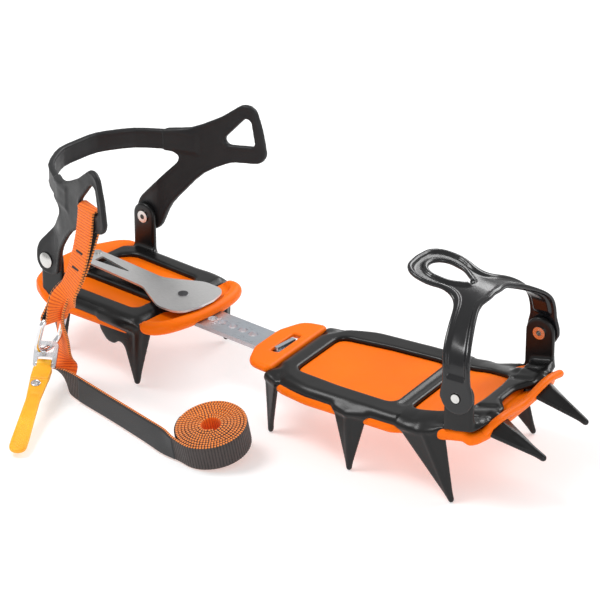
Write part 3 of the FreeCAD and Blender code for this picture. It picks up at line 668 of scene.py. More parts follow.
def make_toe_cage(made):
    """Pressed arch and ring with raised rims, a sunk middle and wide fillets where they meet."""
    solid = Solid((62, -52, 52), (134, 0, 119), fine_step(0.45), mirror=True)
    x, y, z = solid.everywhere()
    tilted = z + CROWN_TILT * (x - 107) * step_up(z, 80, 95)
    arch = spline_points("arch_line", ARCH, 6)
    # Distance to the arch's middle surface, and the arch's middle where that is nearest.
    raised, middle = along_line(np.abs(y), tilted, [(a.x, a.y) for a in arch], [a.z for a in arch])
    half = LEG_HALF - 1.2 * step_up(z, 86, 103)
    across = np.abs(x - middle) - half
    disc = length(x - RIVET_AT[0], z - RIVET_AT[1]) - LEG_HEAD
    side = smooth_min(np.maximum(across, RIVET_AT[1] - z), disc, 4)
    ring_x = ((x - RING_AT[0]) * math.cos(RING_LEAN))[:, :, 0:1]
    ring_flat = both_sides(ring_x, y, RING_OUTLINE)
    hole = both_sides(ring_x, y, RING_HOLE)
    share = step_up(-x, -105, -93)
    plane = (z + CROWN_TILT * (x - RING_AT[0]) - RING_AT[1]) * CROWN_COSINE
    raised = -raised * (1 - share) + plane * share
    plan = smooth_min(side, ring_flat + 20 * step_up(-z, -92, -80), 15)
    plan = smooth_max(plan, -hole, 1.5)
    sunk = step_up(-plan, 2.1, 3.7) * step_up(z, 72.5, 76)
    surface = raised + SUNK * sunk
    solid.values[:] = rounded_both(plan, np.abs(surface) - CAGE_SHEET / 2, 1.1)
    # Small dent in the middle of the crown.
    solid.cut((98, -4, 100), (112, 0, 110), lambda p: ball(p, (103.5, 0, 105.6), (2, 2, 1.6)), 0.4)
    rivet_hole(solid, RIVET_AT, MOULDED_HOLE)
    return solid.mesh("toe_cage_pressing", FRONT, [made], 2)


# ---- front section ----
FRONT_TOP = 39
FRONT_SHEET = 3
FRONT_SIDE = [(-5, 21, 9), (5.5, 36.5, 12), (26, 41, 30), (77, 43, 60), (114, 43.5, 3)]
FRONT_NOSE = [(133.4, 44.5, 5), (136, 33, 4), (135, 29.5, 4), (135, 16, 5), (128.5, 7, 7)]
# How far the nose curves up: along X, and the height that it has gained.
ROCKER = ((80, 92, 104, 117, 133, 141), (0, 1, 3.2, 6.3, 9.4, 10.8))
BIG_OPENING = [(9, 23.5, 7), (40, 27.2, 60), (74.8, 28.6, 5.5)]
TOE_OPENING = [(84.6, 28.8, 5), (102, 28, 20), (117, 21.6, 7), (118.5, 9, 12)]
POST = [(114, 41.4, 0), (131, 45, 1.5), (131, 71.5, 8.4), (114, 71.5, 8.4)]
NOSE_CORNER = [(118, -42.6, 1), (131.8, -42.9, 4.5), (133.2, -33, 5), (118, -33, 1)]
# Pressed lumps over the roots of the points: middle, radii.
FRONT_LUMPS = [
    ((57, -41, 32), (8, 4.6, 4.2)), ((91.5, -40.5, 32), (5, 4.2, 4.2)),
    ((104.5, -41.5, 31.5), (6, 4.4, 4.2)), ((0.5, -28.5, 32.5), (6, 6, 5)),
]
NOSE_GROOVES = [((112, -35, 39.6), (127, -33.4, 39.4)), ((121, -19, 39.8), (130, -18.6, 39.4))]
# Folded points at the rear corner, side, fore side and front: left, ridge and right of the root, tip, blend.
FRONT_POINTS = [
    ((-4.6, -23.5, 34), (-2.8, -31.5, 34.5), (5.2, -35.6, 34), (-2, -30.2, 1.4), 3),
    ((46.4, -41.6, 34), (55, -43.6, 32.5), (64.6, -41.8, 34), (56.4, -43.6, 1.4), 3.2),
    ((86.5, -41.6, 34), (103, -44, 34), (111.5, -41.8, 40), (119.6, -44.6, 1.4), 3.2),
    ((130, -34.4, 41), (131.5, -25.4, 46), (130, -14.6, 42), (161.6, -23.4, 28.6), 2.6),
]


def rise(x):
    return np.interp(x, *ROCKER)


def make_front_frame(made):
    """Stamped steel ring: flat ledge, rolled shoulder, short skirt, posts and eight folded points."""
    solid = Solid((-13, -49.5, -1.5), (168, 0, 74), fine_step(0.6), mirror=True)
    cut, (x, y, z) = solid.window((-13, -50, 27), (140, 0, 55))
    z = z - rise(x)
    p = (x, y, z)
    plan = both_sides(x, y, FRONT_SIDE + FRONT_NOSE)
    shoulder = 4.8 + 3.2 * step_up(-x, -24, -4)
    outer = rounded_both(plan, z - FRONT_TOP, shoulder)
    # The ledge falls away towards the side point in front of the crossbar and towards the nose.
    slope = (z - FRONT_TOP) * 0.86 + ((y + 36.6) * -0.38 + (x - 88.5) * 0.144) * 0.86
    slope = np.where((x > 84) & (x < 120), slope, -FAR)
    outer = smooth_max(outer, slope - 0.6, 3)
    for place, radii in FRONT_LUMPS:
        outer = smooth_min(outer, ball(p, place, radii), 3)
    # Rib that runs out into the front point, between two grooves.
    outer = smooth_min(outer, rod(p, (117, -29.5, 36.6), (134, -25.2, 35.6), 2.9), 3)
    for first, last in NOSE_GROOVES:
        outer = smooth_max(outer, -rod(p, first, last, 1.7), 2.2)
    # Shallow trough along the crossbar.
    outer = smooth_max(outer, -rod(p, (79.7, -26, 42.6), (79.7, 26, 42.6), 4.3), 1.5)
    shell = smooth_max(outer, -(outer + FRONT_SHEET), 0.6)
    shell = smooth_max(shell, 33.4 + 2.4 * step_up(x, 107, 113) - z, 1.2)
    for opening in (BIG_OPENING, TOE_OPENING):
        shell = opened(shell, both_sides(x, y, opening), z, 36.6)
    solid.values[cut] = np.minimum(shell, FAR)
    # Straight flange along the rear rail, which the bar hooks behind.
    block(solid, (-12, -24, 30), (-2, 0, 42), (-7.2, 0, 36.2), (2.2, 20, 2.2), 0.8)
    for point in FRONT_POINTS:
        fang(solid, *point)
    # Stiff tip of the front point.
    solid.join((138, -30, 20), (168, -16, 40),
               lambda p: rod(p, (146, -24.4, 37.4), (161.6, -23.4, 28.6), 1.9, 1.3), 1.5)
    # Even ledge over the nose's corner, in front of the post.
    solid.join((114, -46, 36), (137, -30, 54),
               lambda p: rounded_both(outline(p[0], p[1], rounded(NOSE_CORNER)),
                                      np.abs(p[2] - rise(p[0]) - 37.2) - 2.2, 1.8), 1.5)
    # Rivet post with a soft root.
    side_sheet(solid, (108, -49, 36), (136, -36, 74), POST, -43.5, 1.5, 0.5, 3)
    rivet_hole(solid, RIVET_AT, STAMPED_HOLE)
    return solid.mesh("front_frame_pressing", FRONT, [made], 2)


PLATE_NOSE = [(132, 43.5, 6), (135, 33, 6), (135, 12, 9)]
TONGUE = [(-24.5, 12, 12), (-18, 28.5, 10), (-3, 31, 3)]
TONGUE_SLOT = [(-14.2, 12, 1.2), (-9, 12, 1.2)]
CHANNEL_TOP = 36.35          # roof of the channel that the link bar lies in


def make_front_plate(made):
    """Flexible orange plate: panels in both openings, a bulging rim under the skirt and the rear tongue."""
    solid = Solid((-29, -49, 26), (138, 0, 52), fine_step(0.7), mirror=True)
    x, y, z = solid.everywhere()
    z = z - rise(x)
    plan = both_sides(x, y, FRONT_SIDE + PLATE_NOSE)
    fore = step_up(x, 103, 111)
    waist = step_up(x, 80, 88) * (1 - step_up(x, 106, 112))
    nose = step_up(x, 124, 129)
    reach = plan - 0.6 - 0.5 * fore + 2 * waist
    rim = rounded_both(reach, np.abs(z - 31.5 - 0.6 * fore + 2.2 * nose) - 3.2 - 0.4 * fore, 2.6)
    rim = np.maximum(rim, 4 - x - 6 * step_up(-np.abs(y), -27, -20))
    panels = [both_sides(x, y, opening) for opening in (BIG_OPENING, TOE_OPENING)]
    panel = rounded_both(np.minimum(*panels) + 0.25, np.abs(z - 34.2) - 2.5, 0.8)
    tongue = both_sides(x, y, TONGUE)
    tongue = rounded_both(tongue, np.abs(z - 36.6) - 2.2, 1.9)
    tongue = smooth_max(tongue, -both_sides(x, y, TONGUE_SLOT), 1)
    channel = np.maximum(np.maximum(np.abs(y) - 13.6, z - CHANNEL_TOP), x + 5)
    tongue = smooth_max(tongue, -channel, 0.8)
    solid.values[:] = smooth_min(smooth_min(rim, panel, 1), tongue, 1.5)
    return solid.mesh("front_plate_moulding", FRONT, [made], 2)


# Upper edge of the plate's front lip, which waves and stands higher on the left.
LIP = [
    (129, -38.6, 37), (133, -37, 41), (136, -33.5, 44.6), (137.3, -28, 46.2),
    (137.4, -20, 45.8), (137, -9, 44), (137.3, 0, 43.6), (137.8, 10, 45.6),
    (138.2, 20, 47.4), (138.6, 28, 47.4), (138.8, 36, 45.6),
]


def make_lip(made):
    """Waving tube along the plate's front edge, with the thin web that carries it."""
    solid = Solid((122, -44, 32), (143, 42, 52), fine_step(0.6))
    points = spline_points("lip_line", LIP, 5)
    tube(solid, points, 2.2, 5)
    for a, b in zip(points[::4], points[4::4] + points[-1:]):
        if (b - a).length < TINY:
            continue
        foot_a, foot_b = [(min(130, end.x), end.y * 0.91, 37.4) for end in (a, b)]
        low = (122, min(a.y, b.y) - 6, 32)
        high = (143, max(a.y, b.y) + 6, 52)
        for corners in ((tuple(a), tuple(b), foot_a), (tuple(b), foot_b, foot_a)):
            solid.join(low, high, lambda p: facet(p, corners, 2), 0.8)
    return solid.mesh("front_plate_lip", FRONT, [made], 2)


# ---- heel section ----
HEEL_TOP = 41
HEEL_SHEET = 2.8
HEEL_OUTLINE = [
    (-177, 14, 12), (-168, 32, 12), (-156, 39.2, 12), (-120, 38.9, 30),
    (-88, 38.4, 6), (-88, 14, 4), (-80.5, 12, 3),
]
HEEL_OPENING = [(-152, -27, 9), (-100.5, -26, 5), (-100.5, -10.5, 3), (-157, -10.5, 6), (-158, -20, 6)]
HEEL_POST = [(-161.5, 34, 0), (-145.5, 34, 0), (-145.5, 68.3, 7.9), (-161.5, 68.3, 7.9)]
HEEL_RIVET_AT = (-153.5, 60.3)
HEEL_FLANGE = [
    (-119, 38, 0), (-117.5, 27.5, 6), (-112, 21.6, 5), (-106.5, 20.8, 4), (-102, 25.5, 4),
    (-98.2, 21.5, 5), (-91.2, 1.2, 1), (-88.6, 1.2, 1), (-85.8, 38, 0),
]
FLANGE_FOLD = ((-89, -37.6, 35), (-84.6, -31.5, 35), (-90, -36.6, 2.6))
REAR_POINT = ((-163.5, -33, 38), (-154, -35, 37), (-145, -32.5, 38), (-153.8, -31.6, 1.4), 2)


def make_heel_frame(made):
    """Stamped ring with a middle rail, deep side flanges that end in points, rivet posts and rear points."""
    solid = Solid((-182, -44, -1.5), (-76, 0, 71.5), fine_step(0.75), mirror=True)
    cut, p = solid.window((-182, -44, 30), (-76, 0, 46))
    x, y, z = p
    outer = rounded_both(both_sides(x, y, HEEL_OUTLINE), z - HEEL_TOP, 5.5)
    outer = smooth_min(outer, ball(p, (-101, -36.2, 34.5), (10, 3.6, 4.5)), 3)
    shell = smooth_max(outer, -(outer + HEEL_SHEET), 0.6)
    shell = smooth_max(shell, 33.8 - z, 1)
    solid.values[cut] = opened(shell, outline(x, y, rounded(HEEL_OPENING)), z, 38.6)
    side_sheet(solid, (-124, -44, -1.5), (-80, -30, 42), HEEL_FLANGE, -37.1, 1.4, 0.9, 2)
    solid.join((-96, -44, -1.5), (-80, -26, 42), lambda p: facet(p, FLANGE_FOLD, 2.4), 1.4)
    fang(solid, *REAR_POINT)
    side_sheet(solid, (-166, -44, 30), (-141, -30, 71), HEEL_POST, -37.7, 1.5, 0.5, 3)
    block(solid, (-172, -12, 36), (-150, 0, 46), (-162.2, 0, 41.4), (6.7, 8.3, 3.3), 1.2)
    rivet_hole(solid, HEEL_RIVET_AT, STAMPED_HOLE)
    return solid.mesh("heel_frame_pressing", HEEL, [made], 2)


HEEL_PLATE = [
    (-181, 13, 13), (-171, 35, 14), (-158, 42, 14), (-120, 40, 20),
    (-86, 39.4, 6), (-78, 34, 8), (-70, 22, 14),
]
HEEL_ROLL = [
    (-84.5, -34.6, 37.2), (-82, -34.4, 37.4), (-78.5, -33, 37.6), (-74.6, -27, 37.8),
    (-72.2, -17, 37.8), (-71.2, -8, 37.8), (-71, 0, 37.8), (-71, 3, 37.8),
]


def make_heel_plate(made):
    """Flexible orange plate: dished floor, rim under the side rails, roll in front, rolled rear edge."""
    solid = Solid((-186, -46, 26), (-64, 0, 46), fine_step(0.7), mirror=True)
    x, y, z = solid.everywhere()
    plan = both_sides(x, y, HEEL_PLATE)
    rear = step_up(-x, 150, 166)
    rim = rounded_both(plan + 1 - 1.6 * rear, np.abs(z - 32 - 5.2 * rear) - 2.9 - 1.4 * rear, 2.5)
    rim = smooth_max(rim, x + 92, 3)
    floor = rounded_both(plan + 3, np.abs(z - 37.3) - 0.9, 0.6)
    solid.values[:] = smooth_min(rim, floor, 1.5)
    tube(solid, spline_points("roll_line", HEEL_ROLL, 5), 3.7, 6, 0.4)
    # Channel for the link bar, with an eased mouth through the front roll.
    for rear_end, blend in ((-78, 0.6), (-186, 0)):
        solid.cut((rear_end, -11.5, 20), (-60, 0, 37),
                  lambda p: np.maximum(np.abs(p[1]) - 11, p[2] - CHANNEL_TOP), blend)
    return solid.mesh("heel_plate_moulding", HEEL, [made], 2)


# ---- heel harness ----
WING_PLAN = [(-172, -41.15, 0), (-145.5, -41.15, 12), (-134, -48.6, 20), (-106, -59, 60), (-76, -66.8, 0)]
BAND_PLAN = [(-96, -62.5, 0), (-134, -48.6, 40), (-157, -34, 30), (-168.5, -14, 24), (-168.5, 4, 0)]
WING_SIDE = [
    (-161.8, 52, 7.9), (-145, 52, 7.9), (-139, 70, 30), (-121, 92, 40), (-104, 101, 20),
    (-82, 103.5, 7), (-85, 122, 30), (-91, 142.5, 7), (-110, 128, 30), (-128, 118, 40),
    (-142, 116, 0), (-142, 104, 0), (-136, 104, 7), (-134, 98, 5), (-146, 84, 30),
    (-161.5, 68, 14),
]
TRIANGLE = [(-112.5, 110.6, 3), (-89, 113.2, 2.5), (-92.3, 133, 3)]
BAND_MIDDLE = 110
BAND_HALF = 6
BAND_END = -124
HARNESS_HALF = 1.5
BEAD = 0.55                  # how far the edge bead stands out


def harness_wall(x, y, route, edge, depth):
    """Upright wall along a route in plan, thicker near its edge; depth is the distance in from that edge."""
    wall, = along_line(x, y, rounded(route, closed=False))
    bead = BEAD * (1 - step_up(depth, 0.9, 2.4))
    return rounded_both(edge, np.abs(wall) - HARNESS_HALF - bead, 1.3)


def make_harness(made):
    """Moulded wall with a thin bead round every edge: two legs, two wings with triangles and the rear band."""
    solid = Solid((-173, -72, 49), (-77, 0, 146), fine_step(0.8), mirror=True)
    x, y, z = solid.everywhere()
    side = outline(x, z, rounded(WING_SIDE))
    side = smooth_max(side, -outline(x, z, rounded(TRIANGLE)), 1)
    wing = harness_wall(x, y, WING_PLAN, side, -side)
    wing = np.where(x < -141.5, np.maximum(wing, z - 101), wing)
    height = np.abs(z - BAND_MIDDLE)
    band = harness_wall(x, y, BAND_PLAN, np.maximum(height - BAND_HALF, x - BAND_END), BAND_HALF - height)
    solid.values[:] = smooth_min(wing, band, 3)
    rivet_hole(solid, HEEL_RIVET_AT, MOULDED_HOLE)
    return solid.mesh("heel_harness_moulding", HEEL, [made], 2)


# ---- strap ----
STRAP_WIDTH = 15
STRAP_THICK = 1.7
RIB_PITCH = 1.6
RIB_DEPTH = 0.22
YARNS = 22                   # across the width
STEP = RIB_PITCH / 4
# Half of the cross-section, from edge to edge, as shares of the half width.
PROFILE = [-1, -0.97, -0.9, -0.6, -0.2, 0.2, 0.6, 0.9, 0.97, 1]


def resample(points, sides, step):
    """Even steps along a line that carries a width direction at each point."""
    gaps = [(b - a).length for a, b in zip(points, points[1:])]
    total = sum(gaps)
    count = max(2, int(round(total / step)))
    result = []
    i = 0
    done = 0
    for k in range(count + 1):
        want = total * k / count
        while i < len(gaps) - 1 and done + gaps[i] < want:
            done += gaps[i]
            i += 1
        t = (want - done) / gaps[i] if gaps[i] > 1e-9 else 0
        result.append((points[i].lerp(points[i + 1], t), sides[i].lerp(sides[i + 1], t).normalized()))
    return result, total


def heading(stations, k, closed=False):
    """Direction of the webbing at one station, and the direction out of its orange face."""
    count = len(stations)
    before = k - 1 if closed else max(k - 1, 0)
    after = (k + 1) % count if closed else min(k + 1, count - 1)
    ahead = (stations[after][0] - stations[before][0]).normalized()
    return ahead, stations[k][1].cross(ahead).normalized()


def ribbon(name, stations, matrix, materials, closed=False):
    """Webbing through (middle, width direction) stations: face 0 is the orange one, face 1 the dark one."""
    half = STRAP_WIDTH / 2
    verts = []
    uvs = []
    count = len(stations)
    for k, (middle, side) in enumerate(stations):
        ahead, out = heading(stations, k, closed)
        side = ahead.cross(out).normalized()
        along = k * STEP
        rib = RIB_DEPTH * 0.5 * math.cos(CIRCLE * along / RIB_PITCH)
        for face in (1, -1):
            row = PROFILE if face > 0 else PROFILE[::-1]
            for u in row:
                edge = max(0, (abs(u) - 0.88) / 0.12)
                thick = (STRAP_THICK / 2 + rib) * math.sqrt(max(0, 1 - edge * edge * 0.75))
                verts.append(middle + side * (u * half) + out * (face * thick))
                uvs.append(((u + 1) / 2, along))
    width = len(PROFILE)
    ring = 2 * width
    faces = []
    slots = []
    turns = count if closed else count - 1
    for k in range(turns):
        a = k * ring
        b = ((k + 1) % count) * ring
        for j in range(ring):
            n = (j + 1) % ring
            faces.append((a + j, a + n, b + n, b + j))
            if j in (width - 1, ring - 1) or j % width in (0, width - 2):
                slots.append(2)
            else:
                slots.append(0 if j < width else 1)
    if not closed:
        faces.append(tuple(range(ring))[::-1])
        faces.append(tuple((count - 1) * ring + j for j in range(ring)))
        slots += [2, 2]
    piece = mesh_piece(name, verts, faces, matrix, materials)
    layer = piece.data.uv_layers.new(name="UVMap")
    for polygon, slot in zip(piece.data.polygons, slots):
        polygon.material_index = slot
        for loop in polygon.loop_indices:
            layer.data[loop].uv = uvs[piece.data.loops[loop].vertex_index]
    return piece


# Strap tail, heel axes: (middle, width direction), from inside the loop down to the start of the roll.
TAIL_ROUTE = [
    ((-107, -67.6, 72), (-0.75, 0.62, 0.2)),
    ((-113.5, -69, 57), (-0.62, 0.76, 0.2)),
    ((-118.5, -66.8, 45), (-0.8, 0.6, 0.1)),
    ((-121.6, -63, 34), (-0.9, 0.42, 0.05)),
    ((-122.6, -61.4, 26.5), (-0.92, 0.36, 0)),
    ((-122.9, -61.2, 20), (-0.95, 0.28, 0)),
    ((-122.2, -62, 14.4), (-0.96, -0.05, -0.15)),
    ((-120, -64.6, 10.6), (-0.62, -0.62, 0.45)),
    ((-116.2, -68, 8.8), (-0.25, -0.38, 0.88)),
    ((-110.4, -70.3, 8.2), (-0.04, -0.08, 0.99)),
    ((-103.5, -71.6, 8.1), (0, 0, 1)),
    ((-90.6, -73.9, 8.1), (0, 0, 1)),
    ((-75, -76.4, 8.1), (0, -0.03, 1)),
    ((-57.3, -79.3, 8), (0, -0.02, 1)),
    ((-38, -82.8, 8), (0, 0, 1)),
    ((-24, -85.5, 7.9), (0, 0.1, 1)),
]
# Where the tail stops following the harness, and where it lies still on the ground.
LABEL_FROM = -100
LABEL_TO = -14
LABEL_HALF = 6.9
LOW = 12                     # the standing run is lower than this
OUTSIDE = -68                # and farther out than this
ROLL_CENTRE = Vector((-3.6, -69, 0))
ROLL_OUTER = 20
ROLL_INNER = 5.2
ROLL_PITCH = 1.8
ROLL_TILT = 14
ROLL_LIFT = 12.4
ROLL_START = math.radians(-101)
LEAD_IN = 7                  # straight webbing just before the roll
TURN_STEPS = 48


def roll_route():
    """The rolled-up end: an inward spiral whose turns sit a little high or low, as wound by hand."""
    tilt = Matrix.Rotation(math.radians(ROLL_TILT), 3, "X")
    points = []
    sides = []
    turns = (ROLL_OUTER - ROLL_INNER) / ROLL_PITCH
    count = int(turns * TURN_STEPS)
    for i in range(count + 1):
        turn = i / TURN_STEPS
        angle = ROLL_START + CIRCLE * turn
        radius = ROLL_OUTER - ROLL_PITCH * turn
        radius += 0.1 * math.sin(3 * angle + turn)
        lift = 0.3 * noise.noise(Vector((math.cos(angle) * 1.2, math.sin(angle) * 1.2, turn * 1.7)))
        local = Vector((radius * math.cos(angle), radius * math.sin(angle), lift))
        points.append(ROLL_CENTRE + tilt @ local + Vector((0, 0, ROLL_LIFT)))
        sides.append(tilt @ Vector((0, 0, 1)))
    return points, sides


def make_tail(materials):
    """One length of webbing: from the loop down behind the buckle, along the ground and into the roll."""
    roll_points, roll_sides = roll_route()
    back = (roll_points[0] - roll_points[1]).normalized()
    lead = [Vector(p) for p, _ in TAIL_ROUTE] + [roll_points[0] + back * LEAD_IN, roll_points[0]]
    lead_sides = [Vector(s).normalized() for _, s in TAIL_ROUTE] + [roll_sides[0], roll_sides[0]]
    middle = spline_points("tail_line", lead)
    edge = spline_points("tail_edge", [p + s * (STRAP_WIDTH / 2) for p, s in zip(lead, lead_sides)])
    sides = [(e - m).normalized() for e, m in zip(edge, middle)]
    points = middle[:-1] + roll_points
    sides = sides[:-1] + roll_sides
    stations, total = resample(points, sides, STEP)
    piece = ribbon("strap_tail", stations, HEEL, materials)
    return piece, stations, total


# Across the label as shares of its half width, and how far each line stands off the webbing.
LABEL_PROFILE = [
    (-1, 0.1), (-0.985, 0.5), (-0.9, 0.55), (-0.5, 0.62), (0, 0.66), (0.5, 0.62), (0.9, 0.55), (0.985, 0.5),
    (1, 0.1),
]


def make_label(stations, made):
    """Blank woven label sewn to the dark face of the standing webbing, bulging a little between its seams."""
    run = [s for s in stations if LABEL_FROM < s[0].x < LABEL_TO and s[0].z < LOW and s[0].y < OUTSIDE]
    count = len(run)
    face = STRAP_THICK / 2 + RIB_DEPTH * 0.3
    verts = []
    for k, (middle, side) in enumerate(run):
        out = -heading(run, k)[1]
        taper = 0.1 if k in (0, count - 1) else 1
        for u, lift in LABEL_PROFILE:
            verts.append(middle + side * (u * LABEL_HALF) + out * (face + lift * taper))
    width = len(LABEL_PROFILE)
    faces = [(k * width + j, k * width + j + 1, (k + 1) * width + j + 1, (k + 1) * width + j)
             for k in range(count - 1) for j in range(width - 1)]
    return mesh_piece("strap_label_cloth", verts, faces, HEEL, [made])


# Closed loop of the strap round the triangle's lower bar and the buckle ring's top wire, heel axes.
LOOP_ROUTE = [
    (-100.3, -62.6, 113.4), (-100, -59.6, 115.2), (-99.6, -57, 113.4), (-99.6, -57.4, 106),
    (-100.2, -60.4, 98), (-102, -64.8, 84), (-106.6, -68, 70), (-113.6, -70.8, 57.5),
    (-118.2, -72.4, 51.5), (-119.9, -73, 47), (-117.8, -73.2, 44.5), (-115.1, -73.2, 46.8),
    (-114.4, -73.4, 51.5), (-110.4, -73.4, 58.5), (-104.6, -71.4, 71), (-101.4, -68.2, 84.5),
    (-100.5, -64.8, 98), (-100.4, -63.4, 106),
]
# The width direction, degrees from X: along the bar above one height, along the ring's wire below another.
BAR_ALONG = -14
WIRE_ALONG = 82
TWIST_FROM = 68
TWIST_TO = 50


def make_loop(materials):
    """Webbing sewn into a ring; its width twists between the bar and the wire that it hangs from and holds."""
    count = len(LOOP_ROUTE)
    route = [Vector(LOOP_ROUTE[i % count]) for i in range(count + 1)]
    # The route starts and ends on top of the bar, in a straight stretch, so that its ends meet smoothly.
    middle = spline_points("loop_line", route)
    tilt = []
    for p in middle:
        turn = min(1, max(0, (TWIST_FROM - p.z) / (TWIST_FROM - TWIST_TO)))
        angle = math.radians(BAR_ALONG + (WIRE_ALONG - BAR_ALONG) * turn * turn * (3 - 2 * turn))
        tilt.append(Vector((math.cos(angle), math.sin(angle), -0.05)))
    stations, total = resample(middle, tilt, STEP)
    piece = ribbon("strap_loop_band", stations[:-1], HEEL, materials, closed=True)
    return piece, stations, total


# Two bars of dark thread across the front of the loop, heel axes: height of each.
TACK_HEIGHTS = (89.5, 80)
BELOW_BAR = 100
TACK_HALF = 3.2
TACK_REACH = 0.65
TACK_COLUMNS = 25
TACK_ROWS = 7


def make_tacks(stations, made):
    """Sewn bars that close the loop's front strand, raised where the thread crosses itself."""
    front = [k for k in range(len(stations) // 2, len(stations)) if stations[k][0].z < BELOW_BAR]
    verts = []
    faces = []
    for height in TACK_HEIGHTS:
        k = min(front, key=lambda i: abs(stations[i][0].z - height))
        middle, side = stations[k]
        ahead, out = heading(stations, k)
        first = len(verts)
        for i in range(TACK_COLUMNS):
            for j in range(TACK_ROWS):
                u = -1 + 2 * i / (TACK_COLUMNS - 1)
                v = -1 + 2 * j / (TACK_ROWS - 1)
                edge = max(abs(u), abs(v)) > 0.99
                lift = -0.1 if edge else 0.3 + 0.12 * math.sin(i * math.pi / 1.5)
                flat = side * (u * TACK_HALF) + ahead * (v * TACK_REACH)
                verts.append(middle + flat + out * (STRAP_THICK / 2 + lift))
        for i in range(TACK_COLUMNS - 1):
            for j in range(TACK_ROWS - 1):
                a = first + i * TACK_ROWS + j
                faces.append((a, a + TACK_ROWS, a + TACK_ROWS + 1, a + 1))
    return mesh_piece("strap_bar_tacks", verts, faces, HEEL, [made])


# ---- pull tab: its own axes start at the bar, X along the tab and Z up from its face ----
TAB_BAR_AT = Vector((-121.313, -78.267, 19.049))
TAB_AIM = Vector((-78, -144.5, 2.7))
TAB_ACROSS = Vector((0.8369, 0.5473, 0))
TAB_SIDE = [
    (-2.4, -3.8, 0.8), (3.6, -3.9, 0.5), (4.6, -5.3, 1.5), (16, -5.1, 8), (32, -4, 24),
    (66, -4.9, 20), (76, -4.8, 4.6),
]
TAB_EYE = (18.6, -1)
EYE_RADIUS = 1.9
BAR_BORE = 1.25
DOT_PITCH = 2.3


def tab_matrix():
    """Takes the tab's own axes to the scene."""
    run = (TAB_AIM - TAB_BAR_AT).normalized()
    face = run.cross(TAB_ACROSS).normalized()
    turn = Matrix((run, TAB_ACROSS, face)).transposed().to_4x4()
    return HEEL @ Matrix.Translation(TAB_BAR_AT) @ turn


def make_tab(made):
    """Moulded tongue: doubled head round the bar, raised border, sunk faces and a dotted grip at the end."""
    solid = Solid((-3.6, -6.4, -3.4), (77.4, 6.4, 3.4), fine_step(0.32))
    x, y, z = solid.everywhere()
    plan = both_sides(x, y, TAB_SIDE)
    sunk = step_up(-plan, 0.9, 1.6) * step_up(x, 25, 28)
    dots = np.maximum(0, np.cos(CIRCLE * x / DOT_PITCH) * np.cos(CIRCLE * y / DOT_PITCH))
    dots = dots * step_up(x, 46, 48)
    half = 1.15 + 0.75 * step_up(-x, -15, -14) - sunk * (0.35 - 0.4 * dots)
    body = rounded_both(plan, np.abs(z) - half, 0.7)
    body = smooth_min(body, np.maximum(length(x, z) - 2.4, np.abs(y) - 3.9), 0.6)
    body = smooth_max(body, BAR_BORE - length(x, z), 0)
    eye = EYE_RADIUS - length(x - TAB_EYE[0], y - TAB_EYE[1])
    solid.values[:] = smooth_max(body, eye, 0.3)
    return solid.mesh("pull_tab_moulding", tab_matrix(), [made], 1)


def make_eyelet(made):
    """Pressed metal eyelet: a short sleeve with a rolled rim on both faces of the tab."""
    eye_x, eye_y = TAB_EYE
    solid = Solid((eye_x - 4, eye_y - 4, -2.4), (eye_x + 4, eye_y + 4, 2.4), fine_step(0.2))
    x, y, z = solid.everywhere()
    away = length(x - eye_x, y - eye_y)
    sleeve = rounded_both(np.abs(away - EYE_RADIUS + 0.1) - 0.25, np.abs(z) - 1.5, 0.2)
    rim = length(away - EYE_RADIUS - 0.3, (np.abs(z) - 1.35) * 1.3) - 0.62
    solid.values[:] = smooth_min(sleeve, rim, 0.3)
    return solid.mesh("tab_eyelet", tab_matrix(), [made], 1)


# ---- make everything ----
place_camera()
make_studio()

black = coated_steel()
orange = moulded("orange_plastic", [(0.92, 0.15, 0.0005), (0.98, 0.178, 0.0008)], 22, (0.36, 0.46), 90,
                 (900, 0.00005, 0.4),
                 {"Specular IOR Level": 0.14,
                  "Subsurface Weight": 0.1, "Subsurface Radius": (0.004, 0.0015, 0.0005)})
gloss = moulded("gloss_black_plastic", [(0.006, 0.006, 0.007), (0.011, 0.011, 0.012)], 45, (0.17, 0.26), 130,
                (1400, 0.00003, 0.35), {})
satin = moulded("satin_grey_plastic", [(0.009, 0.009, 0.01), (0.014, 0.014, 0.015)], 35, (0.4, 0.5), 160,
                (2200, 0.00005, 0.5), {"Specular IOR Level": 0.34})
yellow = moulded("yellow_rubber", [(0.98, 0.4, 0.008), (1, 0.5, 0.016)], 70, (0.34, 0.46), 150,
                 (800, 0.00005, 0.4), {"Subsurface Weight": 0.35, "Subsurface Radius": (0.006, 0.003, 0.0008)})
zinc = steel("zinc_bar", (0.6, 0.645, 0.7), (0.24, 0.38), (1, 8, 8), 260, metal=0.85)
leaf_metal = steel("brushed_leaf", (0.8, 0.795, 0.79), (0.3, 0.42), (1, 10, 10), 300, metal=0.78)
rivet_metal = steel("rivet_metal", (0.72, 0.71, 0.69), (0.2, 0.32))
pin_metal = steel("pin_metal", (0.16, 0.16, 0.17), (0.3, 0.45))
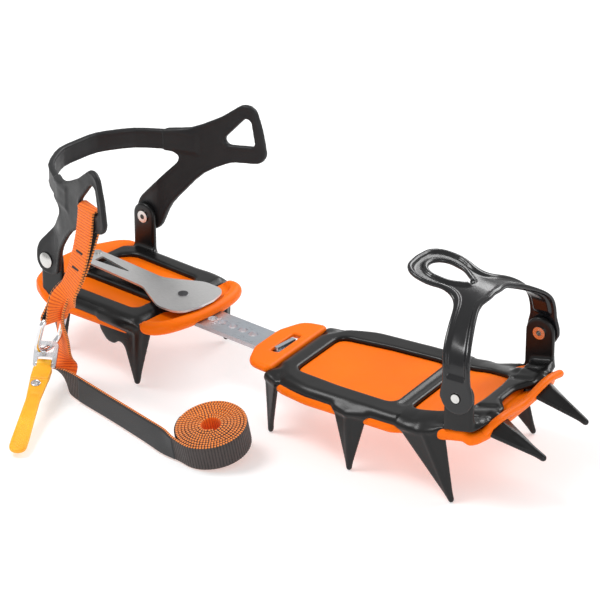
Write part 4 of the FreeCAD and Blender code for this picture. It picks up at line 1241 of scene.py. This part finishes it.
chrome = steel("chrome_ring", (0.86, 0.87, 0.89), (0.04, 0.1), depth=0.000004)
plate_metal = steel("buckle_steel", (0.66, 0.67, 0.69), (0.24, 0.36), (8, 8, 1), 280)
# The second colour of each webbing is painted shade for the lows between its ribs.
web_orange = webbing_material("webbing_orange", (0.97, 0.19, 0.004), (0.6, 0.075, 0.002), 0.5)
web_dark = webbing_material("webbing_dark", (0.06, 0.045, 0.042), (0.012, 0.008, 0.008), 0.6)
web_edge = selvedge_material()
label_cloth = label_material()

paint("link_bar", zinc, 0.0003)
paint("bar_guide", zinc, 0.0003)
paint("adjuster_leaf", leaf_metal, 0.0002)
paint("adjuster_pin", pin_metal, 0.0002)
for rivet in ("leaf_rivet", "toe_rivet", "heel_rivet"):
    paint(rivet + "_left", rivet_metal, 0.0002)
    paint(rivet + "_right", rivet_metal, 0.0002)
paint("buckle_ring", chrome, 0)
paint("buckle_plate", plate_metal, 0.0002)

for piece, node, body, slot in (
        (make_toe_cage(gloss), "toe_cage", "toe_cage", "cage_plastic"),
        (make_front_frame(black), "front_frame", "front_section", "frame_steel"),
        (make_front_plate(orange), "front_antiball_plate", "front_section", "orange_plate"),
        (make_heel_frame(black), "heel_frame", "heel_section", "frame_steel"),
        (make_heel_plate(orange), "heel_antiball_plate", "heel_section", "orange_plate"),
        (make_harness(satin), "heel_harness", "heel_harness", "harness_plastic"),
        (make_tab(yellow), "pull_tab", "pull_tab", "tab_rubber")):
    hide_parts(node)
    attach(piece, body)
lip = make_lip(orange)
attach(lip, "front_section")
eyelet = make_eyelet(plate_metal)
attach(eyelet, "pull_tab")

webbing = [web_orange, web_dark, web_edge]
tail, tail_stations, tail_length = make_tail(webbing)
label = make_label(tail_stations, label_cloth)
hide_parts("strap_label")
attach(label, "heel_section")
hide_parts("strap_drop", "strap_run", "strap_roll")
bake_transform(tail)
loop, loop_stations, loop_length = make_loop(webbing)
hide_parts("strap_loop")
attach(loop, "heel_harness")
tacks = make_tacks(loop_stations, label_cloth)
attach(tacks, "heel_harness")
print("strap lengths", tail_length, loop_length)
